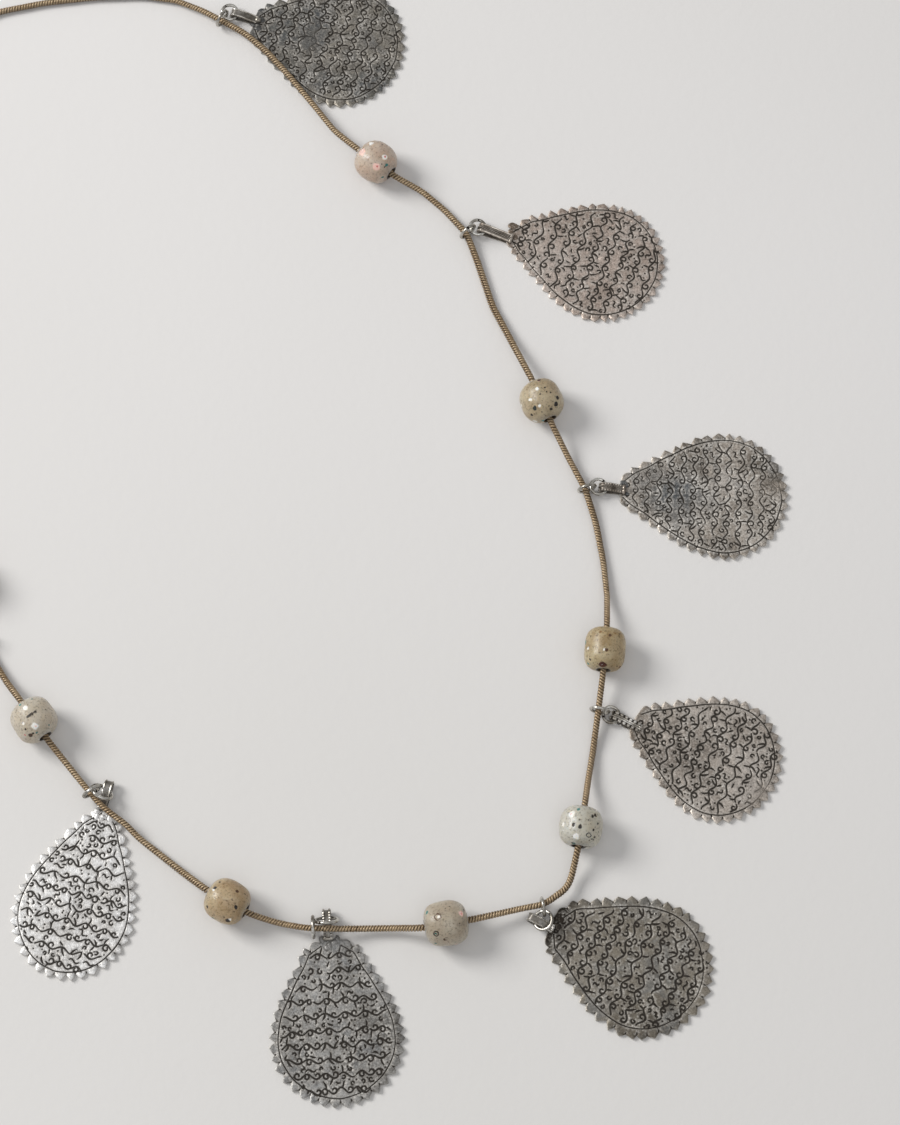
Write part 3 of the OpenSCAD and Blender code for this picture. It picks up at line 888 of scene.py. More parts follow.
def bail_path(p, n):
    """Middle line of the folded strip in the drop's upright plane, front leg first."""
    tip, end, w, bend, inner = p[5], p[6], p[7], p[8], p[10]
    mz = inner + BAIL_T + 0.12
    rm = inner + BAIL_T / 2
    knee = 1.2
    pts = [(end, PLATE_T + BAIL_T / 2)]
    for q in np.linspace(0, 1, 14)[1:]:
        pts.append((end + (knee - end) * q, PLATE_T + BAIL_T / 2 + (mz + rm - 0.1 - PLATE_T - BAIL_T / 2) * q))
    for q in np.linspace(0, 1, 8)[1:]:
        pts.append((knee + (-bend - knee) * q, mz + rm - 0.1 * (1 - q)))
    for a in np.linspace(90, 270, 19)[1:]:
        pts.append((-bend + rm * math.cos(math.radians(a)), mz + rm * math.sin(math.radians(a))))
    for q in np.linspace(0, 1, 12)[1:]:
        pts.append((-bend + (tip + 0.9 + bend) * q, mz - rm + (0.42 - mz + rm) * q))
    pts = np.array(pts)
    # soften the knee
    for _ in range(3):
        pts[1:-1] = (pts[:-2] + 2 * pts[1:-1] + pts[2:]) / 4
    return pts


def build_plate(pile, place, p, n, tone, rng):
    o = Outline(p[3], p[4], p[11], p[13], p[14])
    poly, notches = rim_polygon(o, TEETH + p[12], rng)
    rim = dense(poly, 0.55)
    nr = len(rim)
    inner1 = inset(rim, 0.16)
    margin = TOOTH_D + tone.get("band", 0.8)
    S = strokes_for(o, 500 + n, margin + 0.40, tone.get("line", 0.34), tone.get("pitch", 3.1))
    # border line, following the drop inside the teeth
    border = o.line(margin)
    k = np.arange(len(border)) * 0.3
    border = border + 0.07 * np.stack([wave(k, k * 0, 900 + n, lo=0.3, hi=1.2), wave(k, k * 0, 950 + n, lo=0.3, hi=1.2)], 1)
    bw = tone.get("border_w", 0.27)
    S.append((border, bw * (1 + 0.25 * wave(k, k * 0, 970 + n, lo=0.1, hi=0.6)), 0.16))
    # a short file cut runs in from each notch
    for q, sgn, s in notches:
        c = np.array([o.l * 0.55, 0.0])
        d = (c - q) / np.linalg.norm(c - q)
        e = (o if sgn > 0 else o.other).inward(s, TOOTH_D + 0.3) * np.array([1, sgn]) if s < o.other.all - 0.5 else q + np.array([-0.3, 0])
        ln = rng.uniform(0.15, tone.get("cut", 0.5))
        d = (e - q) / (np.linalg.norm(e - q) + 1e-9)
        S.append((np.array([q + d * 0.18, q + d * (0.18 + ln * 0.5), q + d * (0.18 + ln)]), np.array([0.34, 0.24, 0.10]), 0.15))
    sp, sw, sd = [], [], []
    pts2 = []
    for pts, w, dep in S:
        if len(pts) == 2 and np.linalg.norm(pts[1] - pts[0]) < 0.05:
            sp.append(pts[:1])
            sw.append(w[:1])
            sd.append(np.array([dep]))
            pts2.append(pts[:1])
            for q, m in ((0.5, 6), (0.85, 6)):
                ang = np.arange(m) * 2 * math.pi / m + q
                pts2.append(pts[0] + q * w[0] * np.stack([np.cos(ang), np.sin(ang)], 1))
            continue
        d = np.linalg.norm(np.diff(pts, axis=0), axis=1)
        s = np.concatenate([[0], np.cumsum(d)])
        m = max(3, int(s[-1] / (0.22)) + 1)
        t = np.linspace(0, s[-1], m)
        q = np.stack([np.interp(t, s, pts[:, 0]), np.interp(t, s, pts[:, 1])], 1)
        wq = np.interp(t, s, w)
        tg = np.gradient(q, axis=0)
        tg /= np.linalg.norm(tg, axis=1)[:, None] + 1e-9
        nn = np.stack([-tg[:, 1], tg[:, 0]], 1)
        pts2.append(q)
        for off, ext in ((0.5, 0), (-0.5, 0), (0.5, 0.12), (-0.5, 0.12)):
            pts2.append((q + nn * (np.sign(off) * (wq * 0.5 + ext))[:, None])[:: 1 if ext == 0 else 2])
        t2 = np.linspace(0, s[-1], max(4, int(s[-1] / 0.12) + 1))
        sp.append(np.stack([np.interp(t2, s, pts[:, 0]), np.interp(t2, s, pts[:, 1])], 1))
        sw.append(np.interp(t2, s, w))
        sd.append(np.full(len(t2), dep))
    sp, sw, sd = np.concatenate(sp), np.concatenate(sw), np.concatenate(sd)
    g = 0.7
    gu, gv = np.meshgrid(np.arange(0.6, o.l, g), np.arange(-o.w / 2, o.w / 2, g), indexing='ij')
    gr = np.stack([gu.ravel(), gv.ravel()], 1) + rng.uniform(-0.2, 0.2, (gu.size, 2))
    pts2.append(gr)
    # a few points in every tooth, so that its face can slope
    tooth_pts = inset(rim, 0.5)[::2]
    pts2.append(tooth_pts)
    allp = np.concatenate(pts2)
    allp = allp[points_in(allp, inner1)]
    dr, _ = nearest(allp, inner1, None)
    allp = allp[dr > 0.10]
    key = np.round(allp / 0.075).astype(int)
    _, idx = np.unique(key, axis=0, return_index=True)
    allp = allp[np.sort(idx)]
    vin = [Vector((float(x), float(y))) for x, y in np.concatenate([rim, inner1, allp])]
    edges = [(i, (i + 1) % nr) for i in range(nr)]
    vo, eo, fo, vs, es, fs_ = delaunay_2d_cdt(vin, edges, [], 0, 1e-5)
    P = np.array([(v.x, v.y) for v in vo])
    ri = np.full(nr, -1)
    for k, x in enumerate(vs):
        for i in x:
            if i < nr:
                ri[i] = k
    on_rim = np.zeros(len(P), bool)
    on_rim[ri] = True
    F = np.array([f for f in fo if len(f) == 3])
    F = F[points_in(P[F].mean(1), rim)]
    # heights and point values
    dist, near = nearest(P, sp, sw)
    w = sw[near]
    x = dist / (w * 0.5 + 1e-6)
    groove = np.clip(1 - x, 0, 1) ** 0.8
    ink = np.clip(1.35 - x * 0.80, 0, 1)
    lip = np.exp(-((dist - w * 0.5 - 0.13) / 0.10) ** 2)
    patch = wave(P[:, 0], P[:, 1], 40 + n, lo=0.15, hi=0.5)
    worn = np.clip((patch - (1 - 2 * tone["wear"])) * 1.6, 0, 1)
    ink = ink * (1 - 0.6 * worn)
    halo = np.clip(1 - (dist - w * 0.5) / 0.55, 0, 1) * (x > 0.9)
    z = PLATE_T - 0.03 + 0.075 * wave(P[:, 0], P[:, 1], 60 + n, lo=0.12, hi=0.6) + 0.035 * wave(P[:, 0], P[:, 1], 80 + n, lo=0.8, hi=2.2)
    z = z - sd[near] * groove * (1 - 0.5 * worn) + 0.030 * lip * (1 - worn)
    drim, _ = nearest(P, rim, None)
    nt = np.array([q for q, _, _ in notches])
    dn = np.sqrt(((P[:, None, :] - nt[None]) ** 2).sum(2)).min(1)
    z = z - 0.20 * np.exp(-(dn / 0.55) ** 2)
    z = np.where(on_rim, z - 0.10, z)
    # painted highlight along the rim, kept off the notches
    edge = np.clip(1 - drim / 0.16, 0, 1) * np.clip((dn - 0.5) / 0.5, 0, 1)
    halo = np.maximum(halo * 0.75, np.exp(-(dn / 0.55) ** 2))
    halo = np.maximum(halo, tone.get("rimdark", 0.4) * np.clip(1 - drim / 1.6, 0, 1) * (0.55 + 0.45 * wave(P[:, 0], P[:, 1], 77 + n, lo=0.8, hi=2.0)))
    u, v = P[:, 0], P[:, 1]
    stain = np.clip(tone["stain_f"](u, v, o), 0, 1)
    stain = np.clip(stain * (1 + 0.6 * wave(u, v, 20 + n, lo=0.3, hi=1.4)), 0, 1)
    # painted highlight on the raised lips beside the cuts, partly real polish of the burrs
    shine = np.clip(lip * (x > 1.0) * (1 - worn) * (0.6 + 0.4 * wave(u, v, 33 + n, lo=0.5, hi=1.5)), 0, 1)
    # one closed shell: face, waist and back share their points
    off = np.array([p[5], p[9]])
    bot = inset(rim, 0.10)
    waist = np.stack([rim[:, 0] + off[0], rim[:, 1] + off[1], np.full(nr, 0.16)], 1)
    back = np.stack([bot[:, 0] + off[0], bot[:, 1] + off[1], np.full(nr, 0.0)], 1)
    top = np.stack([P[:, 0] + off[0], P[:, 1] + off[1], z], 1)
    V = np.concatenate([top, waist, back])
    a = P[F[:, 1]] - P[F[:, 0]]
    b = P[F[:, 2]] - P[F[:, 0]]
    flip = (a[:, 0] * b[:, 1] - a[:, 1] * b[:, 0]) < 0
    F[flip] = F[flip][:, ::-1]
    faces = [tuple(t) for t in F]
    ccw = np.sum(rim[:, 0] * np.roll(rim[:, 1], -1) - np.roll(rim[:, 0], -1) * rim[:, 1]) > 0
    m0, m1 = len(P), len(P) + nr
    for i in range(nr):
        j = (i + 1) % nr
        for q in ((ri[i], ri[j], m0 + j, m0 + i), (m0 + i, m0 + j, m1 + j, m1 + i)):
            faces.append(q[::-1] if ccw else q)
    bo, _, bf, bs, _, _ = delaunay_2d_cdt([Vector((float(q[0]), float(q[1]))) for q in bot], [(i, (i + 1) % nr) for i in range(nr)], [], 1, 1e-7)
    BP = np.array([(q.x, q.y) for q in bo])
    to = {k: (m1 + min(x)) for k, x in enumerate(bs) if len(x)}
    for t in bf:
        if len(t) != 3 or any(k not in to for k in t):
            continue
        e = BP[list(t)]
        s = (e[1][0] - e[0][0]) * (e[2][1] - e[0][1]) - (e[1][1] - e[0][1]) * (e[2][0] - e[0][0])
        q = tuple(to[k] for k in t)
        faces.append(q[::-1] if s > 0 else q)
    ext = np.zeros(2 * nr)
    low = np.concatenate([np.full(nr, 0.0), np.full(nr, 0.4)])
    # the walls get the painted highlight at the tone's wall amount
    pile.add(place(V), faces, 0, ink=np.concatenate([ink, ext]), halo=np.concatenate([halo, low]),
             edge=np.concatenate([edge, ext + tone.get("wall", 0.8)]), stain=np.concatenate([stain, ext]), shine=np.concatenate([shine, ext + tone.get("wall", 0.8)]))


def build_bail(pile, place, p, n, tone, rng):
    pu = bail_path(p, n)
    w = tone["bail_w"]
    tg = np.gradient(pu, axis=0)
    tg /= np.linalg.norm(tg, axis=1)[:, None]
    nrm = np.stack([tg[:, 1], -tg[:, 0]], 1)     # outwards from the fold
    midz = p[10] + BAIL_T + 0.12
    if np.dot(nrm[len(nrm) // 2], pu[len(pu) // 2] - np.array([-p[8], midz])) < 0:
        nrm = -nrm
    m = len(pu)
    ht = 0.20
    prof = [(-w / 2, -ht), (w / 2, -ht), (w / 2, ht * 0.4), (w / 2 - 0.12, ht), (-w / 2 + 0.12, ht), (-w / 2, ht * 0.4)]
    V = []
    for i in range(m):
        for (vv, hh) in prof:
            q = pu[i] + nrm[i] * hh
            V.append((q[0], vv, q[1]))
    f = []
    L6 = len(prof)
    for i in range(m - 1):
        for j in range(L6):
            j2 = (j + 1) % L6
            f.append((i * L6 + j, (i + 1) * L6 + j, (i + 1) * L6 + j2, i * L6 + j2))
    f.append(tuple(range(L6)))
    f.append(tuple((m - 1) * L6 + j for j in range(L6 - 1, -1, -1)))
    pile.add(place(np.array(V)), f, 1, ink=tone.get("strip_ink", 0.45))
    dd = np.concatenate([[0], np.cumsum(np.linalg.norm(np.diff(pu, axis=0), axis=1))])
    tt = np.arange(0, dd[-1], 0.085)
    cu = np.stack([np.interp(tt, dd, pu[:, 0]), np.interp(tt, dd, pu[:, 1])], 1)
    cn = np.stack([np.interp(tt, dd, nrm[:, 0]), np.interp(tt, dd, nrm[:, 1])], 1)
    for vv, style, rr in tone["ribs"](w):
        beat = np.abs(np.sin(math.pi * tt / (1.12 if style == "grain" else 0.62)))
        if style == "bead":
            r, inkr = rr * (0.72 + 0.36 * beat), 0.8 * (1 - beat)
        elif style == "grain":
            r, inkr = rr * (0.42 + 0.68 * beat ** 0.6), 1.1 * (1 - beat)
        elif style == "cross":
            r, inkr = rr * (0.86 + 0.14 * beat), 0.5 * (1 - beat)
        else:
            r, inkr = np.full(len(tt), rr), np.zeros(len(tt))
        if style == "twist":
            for ph in (0, math.pi):
                a = 2 * math.pi * tt / 1.15 + ph
                q2 = cu + cn * (0.10 + rr * 0.5 + rr * 0.5 * np.sin(a))[:, None]
                pth = np.stack([q2[:, 0], vv + rr * 0.55 * np.cos(a), q2[:, 1]], 1)
                tv, tf = tube(pth, rr * 0.62, 6, up=(0, 1, 0))
                pile.add(place(tv), tf, 1, ink=0.45)
        else:
            q = cu + cn * (0.10 + rr * 0.45)
            pth = np.stack([q[:, 0], np.full(len(tt), vv), q[:, 1]], 1)
            tv, tf = tube(pth, r, 8, up=(0, 1, 0))
            pile.add(place(tv), tf, 1, ink=np.repeat(inkr, 8))
    eb = pu[0]
    kind = tone.get("end", "bar")
    if kind == "bar":
        bw = w / 2 + 0.22
        ys = np.linspace(-bw, bw, 15)
        r = tone.get("bar_r", 0.44) * np.sqrt(np.clip(1 - (np.abs(ys) / (bw + 0.02)) ** 6, 0.05, 1))
        pth = np.stack([eb[0] + 0.05 - tone.get("bar_bow", 0.0) * (ys / bw) ** 2, ys, np.full(15, eb[1] + 0.08)], 1)
        tv, tf = tube(pth, r, 10, up=(0, 0, 1))
        pile.add(place(tv), tf, 1, ink=0.0)
    elif kind == "ball":
        bv, bf = blob((eb[0] + 0.35, 0, eb[1] + 0.15), (0.80, 0.72, 0.62), seed=n, seg=20, rings=14, rough=0.05)
        pile.add(place(bv), bf, 1, ink=0.0)
    else:
        for k in range(4):
            y = (k - 1.5) * (w + 0.1) / 4
            bv, bf = blob((eb[0] + 0.12 - 0.10 * abs(k - 1.5), y, eb[1] + 0.05), (0.42, 0.34, 0.40), seed=n * 7 + k, seg=14, rings=9, rough=0.08)
            pile.add(place(bv), bf, 1, ink=0.0)
    # solder lumps that fix the strip to the tip
    for i in range(tone.get("solder", 5)):
        c = (p[5] + rng.uniform(0.3, 2.6), p[9] + rng.uniform(-2.0, 2.0), PLATE_T + rng.uniform(-0.12, 0.0))
        bv, bf = blob(c, (rng.uniform(0.5, 1.1), rng.uniform(0.4, 0.9), rng.uniform(0.14, 0.30)), seed=n * 31 + i, seg=16, rings=9)
        pile.add(place(bv), bf, 0, halo=0.35, ink=0.0, stain=1.0)


def build_drop(n, tone):
    p = PLATES[n - 1]
    rng = np.random.default_rng(100 + n)
    pile = Pile()
    h = math.radians(p[2])
    ca, sa = math.cos(h), math.sin(h)

    def place(uvz):
        uvz = np.asarray(uvz, float)
        x = p[0] + uvz[:, 0] * ca - uvz[:, 1] * sa
        y = p[1] + uvz[:, 0] * sa + uvz[:, 1] * ca
        return np.stack([(x - MID[0]) * MM, (y - MID[1]) * MM, uvz[:, 2] * MM], 1)

    build_plate(pile, place, p, n, tone, rng)
    build_bail(pile, place, p, n, tone, rng)
    ob = pile.build("pendant_%d_look" % n, [tone["mat"], tone["wire"]], sharp=40)
    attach(ob, "root")
    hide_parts("pendant_%d" % n)
    return ob


def points_in(q, poly):
    x, y = q[:, 0], q[:, 1]
    c = np.zeros(len(q), bool)
    n = len(poly)
    j = n - 1
    for i in range(n):
        xi, yi = poly[i]
        xj, yj = poly[j]
        hit = ((yi > y) != (yj > y)) & (x < (xj - xi) * (y - yi) / (yj - yi + 1e-15) + xi)
        c ^= hit
        j = i
    return c


def nearest(P, S, width):
    """Distance to the nearest sample; with widths, nearest relative to half the width."""
    best = np.full(len(P), 1e9)
    idx = np.zeros(len(P), int)
    # bucket the samples in cells to keep it quick
    cell = 1.2
    cells = {}
    for i, (x, y) in enumerate(np.floor(S / cell).astype(int)):
        cells.setdefault((x, y), []).append(i)
    pc = np.floor(P / cell).astype(int)
    order = {}
    for i, (x, y) in enumerate(pc):
        order.setdefault((x, y), []).append(i)
    for (x, y), ids in order.items():
        cand = []
        rad = 1
        while not cand and rad < 5:
            cand = [j for a in range(-rad, rad + 1) for b in range(-rad, rad + 1) for j in cells.get((x + a, y + b), ())]
            rad += 1
        if not cand:
            continue
        ids = np.array(ids)
        cand = np.array(cand)
        d = np.sqrt(((P[ids][:, None, :] - S[cand][None]) ** 2).sum(2))
        if width is not None:
            e = d - width[cand][None] * 0.5
        else:
            e = d
        k = e.argmin(1)
        best[ids] = d[np.arange(len(ids)), k]
        idx[ids] = cand[k]
    best[best > 1e8] = 9.0
    return best, idx


# --------------------------------------------------------------------- rings
def ring_mesh(centre, x, y, radius, seed, wire=WIRE_R):
    """A jump ring: round wire bent to a not quite true circle, with a closed cut."""
    rng = np.random.default_rng(seed)
    n = 72
    sides = 12
    a = np.arange(n) * 2 * math.pi / n
    seam = rng.uniform(0, 2 * math.pi)
    r = radius * (1 + 0.012 * np.sin(2 * a + rng.uniform(0, 6)) + 0.008 * np.sin(3 * a + rng.uniform(0, 6)))
    p = centre + r[:, None] * (np.cos(a)[:, None] * x + np.sin(a)[:, None] * y)
    z = np.cross(x, y)
    rad = np.cos(a)[:, None] * x + np.sin(a)[:, None] * y
    k = np.arange(sides) * 2 * math.pi / sides
    w = np.full(n, wire)
    da = np.abs((a - seam + math.pi) % (2 * math.pi) - math.pi)
    near = da < 1.2 * 2 * math.pi / n
    w = np.where(near, wire * 0.86, w)
    v = p[:, None, :] + w[:, None, None] * (np.cos(k)[None, :, None] * rad[:, None, :] + np.sin(k)[None, :, None] * z)
    f = []
    for i in range(n):
        i2 = (i + 1) % n
        for j in range(sides):
            j2 = (j + 1) % sides
            f.append((i * sides + j, i2 * sides + j, i2 * sides + j2, i * sides + j2))
    ink = np.where(near, 0.9, 0.0)
    return (v.reshape(-1, 3) - (MID[0], MID[1], 0)) * MM, f, np.repeat(ink, sides)


def build_rings():
    bright = wire_material("ring_silver", srgb(120, 114, 104), srgb(178, 174, 166), srgb(222, 220, 214), 0.2)
    for n in range(1, 10):
        c = CHAIN_RINGS[n - 1]
        i = c[0]
        t = route[i + 1] - route[i - 1]
        t /= np.linalg.norm(t)
        az = math.radians(c[2])
        ax = np.array([math.cos(az), math.sin(az), 0])
        cen = np.array([route[i][0] + c[1] * t[0], route[i][1] + c[1] * t[1], 0]) + c[4] * ax + np.array([0, 0, c[5]])
        v, f, ink = ring_mesh(cen, ax, np.array([0, 0, 1.0]), c[3], 10 + n)
        o = mesh_object("chain_ring_%d_look" % n, v, f, {"ink": ink}, mats=[bright])
        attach(o, "root")
        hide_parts("chain_ring_%d" % n)
        b = BAIL_RINGS[n - 1]
        p = PLATES[n - 1]
        az, ti = math.radians(b[0]), math.radians(b[2])
        x = np.array([math.cos(ti) * math.cos(az), math.cos(ti) * math.sin(az), math.sin(ti)])
        y = np.array([-math.sin(az), math.cos(az), 0])
        cen = np.array([p[0], p[1], p[10] + BAIL_T + 0.12 + b[4]]) + b[1] * x + b[3] * y
        v, f, ink = ring_mesh(cen, x, y, b[1], 40 + n)
        o = mesh_object("bail_ring_%d_look" % n, v, f, {"ink": ink}, mats=[bright])
        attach(o, "root")
        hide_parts("bail_ring_%d" % n)


# --------------------------------------------------------------------- beads
def on_bead(a, b, d, left, Lb, D, pw):
    """Point of the bead (axis, left, up) that the front view shows a to the right and b up from its middle."""
    e = math.radians(72.0)
    up = np.array([0, math.sin(e), math.cos(e)])
    to = np.array([0, -math.cos(e), math.sin(e)])
    for shrink in (1.0, 0.96, 0.92, 0.88, 0.84, 0.8, 0.7):
        base = shrink * (a * np.array([1.0, 0, 0]) + b * up)
        for t in np.arange(8.0, -0.01, -0.1):
            q = base + t * to
            x, y, z = float(np.dot(q, d)), float(np.dot(q, left)), float(q[2])
            if abs(2 * x / Lb) ** pw + (2 * math.hypot(y, z) / D) ** pw <= 1:
                return np.array([x, y, z])
    return np.array([0.0, 0.0, D / 2])


def build_bead(n, spec):
    b = BEADS[n - 1]
    a, c = route[b[0]], route[b[0] + 1]
    cen = np.array([(a[0] + c[0]) / 2, (a[1] + c[1]) / 2, b[1] / 2])
    d = c - a
    d[2] = 0
    d /= np.linalg.norm(d)
    left = np.array([-d[1], d[0], 0])
    up = np.array([0, 0, 1.0])
    rng = np.random.default_rng(300 + n)
    na = 128
    nl = 60
    D, Lb = b[1] * spec.get("wide", 1.0), b[2]
    pw = spec.get("power", 2.7)
    # profile from end to end along the axis: outer wall, then the bore
    prof = []
    for i in range(nl + 1):
        t = math.pi * i / nl
        cc, ss = math.cos(t), math.sin(t)
        r = max(BORE_R + 0.35, D / 2 * (ss ** (2 / pw)) if ss > 1e-9 else 0)
        x = -math.copysign(Lb / 2 * abs(cc) ** (2 / pw), cc)
        prof.append((x, r))
    outer = len(prof)
    prof += [(Lb / 2 - 0.10, BORE_R + 0.12), (Lb / 2 - 0.35, BORE_R), (Lb / 4, BORE_R), (0, BORE_R), (-Lb / 4, BORE_R),
             (-Lb / 2 + 0.35, BORE_R), (-Lb / 2 + 0.10, BORE_R + 0.12)]
    prof = np.array(prof)
    m = len(prof)
    th = np.arange(na) * 2 * math.pi / na
    X = np.repeat(prof[:, 0][:, None], na, 1)
    R = np.repeat(prof[:, 1][:, None], na, 1)
    T = np.repeat(th[None], m, 0)
    isout = (np.arange(m) < outer)[:, None]
    # uneven, hand-rolled shape
    uneven = 1 + isout * (0.020 * np.sin(2 * T + rng.uniform(0, 6)) + 0.014 * np.sin(3 * T + rng.uniform(0, 6) + X * 0.3)
                          + 0.010 * np.sin(X * 1.1 + rng.uniform(0, 6)))
    uneven = np.minimum(uneven, 1.0 + 0.012)
    R = np.where(isout, np.maximum(R * uneven, BORE_R + 0.3), R)
    P = np.stack([X, R * np.cos(T), R * np.sin(T)], -1)     # axis, left, up
    unit = np.stack([X / Lb * 2, R * np.cos(T) / D * 2, R * np.sin(T) / D * 2], -1)
    unit /= np.linalg.norm(unit, axis=-1)[..., None]
    spot = np.zeros((m, na, 3))
    on = np.zeros((m, na))
    pit = np.zeros((m, na))
    depth = np.zeros((m, na))
    # spots: (along axis mm, across mm, radius mm, colour, kind); seen from above
    marks = list(spec["marks"])
    for _ in range(spec.get("extra", 26)):
        v = rng.normal(size=3)
        v /= np.linalg.norm(v)
        if v[2] > 0.25:
            continue
        q = rng.random()
        marks.append((v, rng.uniform(0.18, 0.6), spec["palette"][rng.integers(len(spec["palette"]))], "pit" if q < 0.35 else "spot"))
    for mk in marks:
        if len(mk) == 5:
            x0, y0, rad, colr, kind = mk
            q = on_bead(x0, y0, d, left, Lb, D, pw)
        else:
            v, rad, colr, kind = mk
            q = np.array([v[0] * Lb / 2, v[1] * D / 2, v[2] * D / 2])
            s = (abs(v[0]) ** pw + abs(v[1]) ** pw + abs(v[2]) ** pw) ** (1 / pw)
            q = q / s
        # ragged edges
        rag = 0.16 * wave(P[..., 0] + q[0] * 3, P[..., 1] + P[..., 2] * 1.7, 700 + n, lo=2.5, hi=7.0)
        dist = np.linalg.norm(P - q, axis=-1) + rag
        if kind == "pit":
            # a burst bubble: ragged edge, tarnished floor
            g = np.clip(1.5 - dist / rad * 1.25, 0, 1)
            w = g >= np.maximum(on, 0.01)
            spot[w] = colr[:3]
            on = np.maximum(on, g)
            depth = np.maximum(depth, 0.24 * min(1, rad / 0.4) * np.clip(1 - dist / rad, 0, 1))
        elif kind == "haze":
            g = 0.52 * np.clip(1.4 - dist / rad, 0, 1)
            w = g > on
            spot[w] = colr[:3]
            on = np.maximum(on, g)
        elif kind == "ring":
            g = np.exp(-((dist - rad) / 0.17) ** 2)
            w = g > on
            spot[w] = colr[:3]
            on = np.maximum(on, g)
            depth = np.maximum(depth, 0.22 * np.clip(1 - dist / rad, 0, 1))
        else:
            g = np.clip(1.6 - dist / rad * 1.1, 0, 1)
            w = g >= np.maximum(on, 0.01)
            spot[w] = colr[:3]
            on = np.maximum(on, g)
    R2 = R - depth * isout
    P = np.stack([X, R2 * np.cos(T), R2 * np.sin(T)], -1)
    W = cen + P[..., 0:1] * d + P[..., 1:2] * left + P[..., 2:3] * up
    W[..., 2] = np.maximum(W[..., 2], 0.0)
    f = []
    for i in range(m):
        i2 = (i + 1) % m
        for j in range(na):
            j2 = (j + 1) % na
            f.append((i * na + j, i * na + j2, i2 * na + j2, i2 * na + j))
    me_v = (W.reshape(-1, 3) - (MID[0], MID[1], 0)) * MM
    mat = bead_material("bead_glass_%d" % n, spec["body"], spec["deep"], spec["haze"], n)
    # outward winding
    c0 = me_v.mean(0)
    i0 = (outer // 2) * na
    q = f[i0]
    nn = np.cross(me_v[q[1]] - me_v[q[0]], me_v[q[2]] - me_v[q[0]])
    if np.dot(nn, me_v[q[0]] - c0) < 0:
        f = [t[::-1] for t in f]
    # painted shade: the bore and the rims of its mouths are marked for darkening
    hole = np.zeros((m, na))
    hole[outer:] = 1.0
    hole[outer - 3:outer] = 0.7
    hole[:3] = 0.7
    pit = np.maximum(pit, hole)
    o = mesh_object("bead_%d_look" % n, me_v, f, {"spot": spot.reshape(-1, 3), "spot_on": on.ravel(), "pit": pit.ravel()}, mats=[mat])
    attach(o, "root")
    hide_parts("bead_%d" % n)


WHITE = srgb(228, 225, 217)
PINK = srgb(204, 96, 98)
ROSE = srgb(224, 184, 174)
TEAL = srgb(44, 118, 116)
DARK = srgb(34, 28, 22)
BROWN = srgb(88, 64, 42)
RED = srgb(176, 52, 56)
PAL = [WHITE, PINK, TEAL, BROWN, ROSE, WHITE]

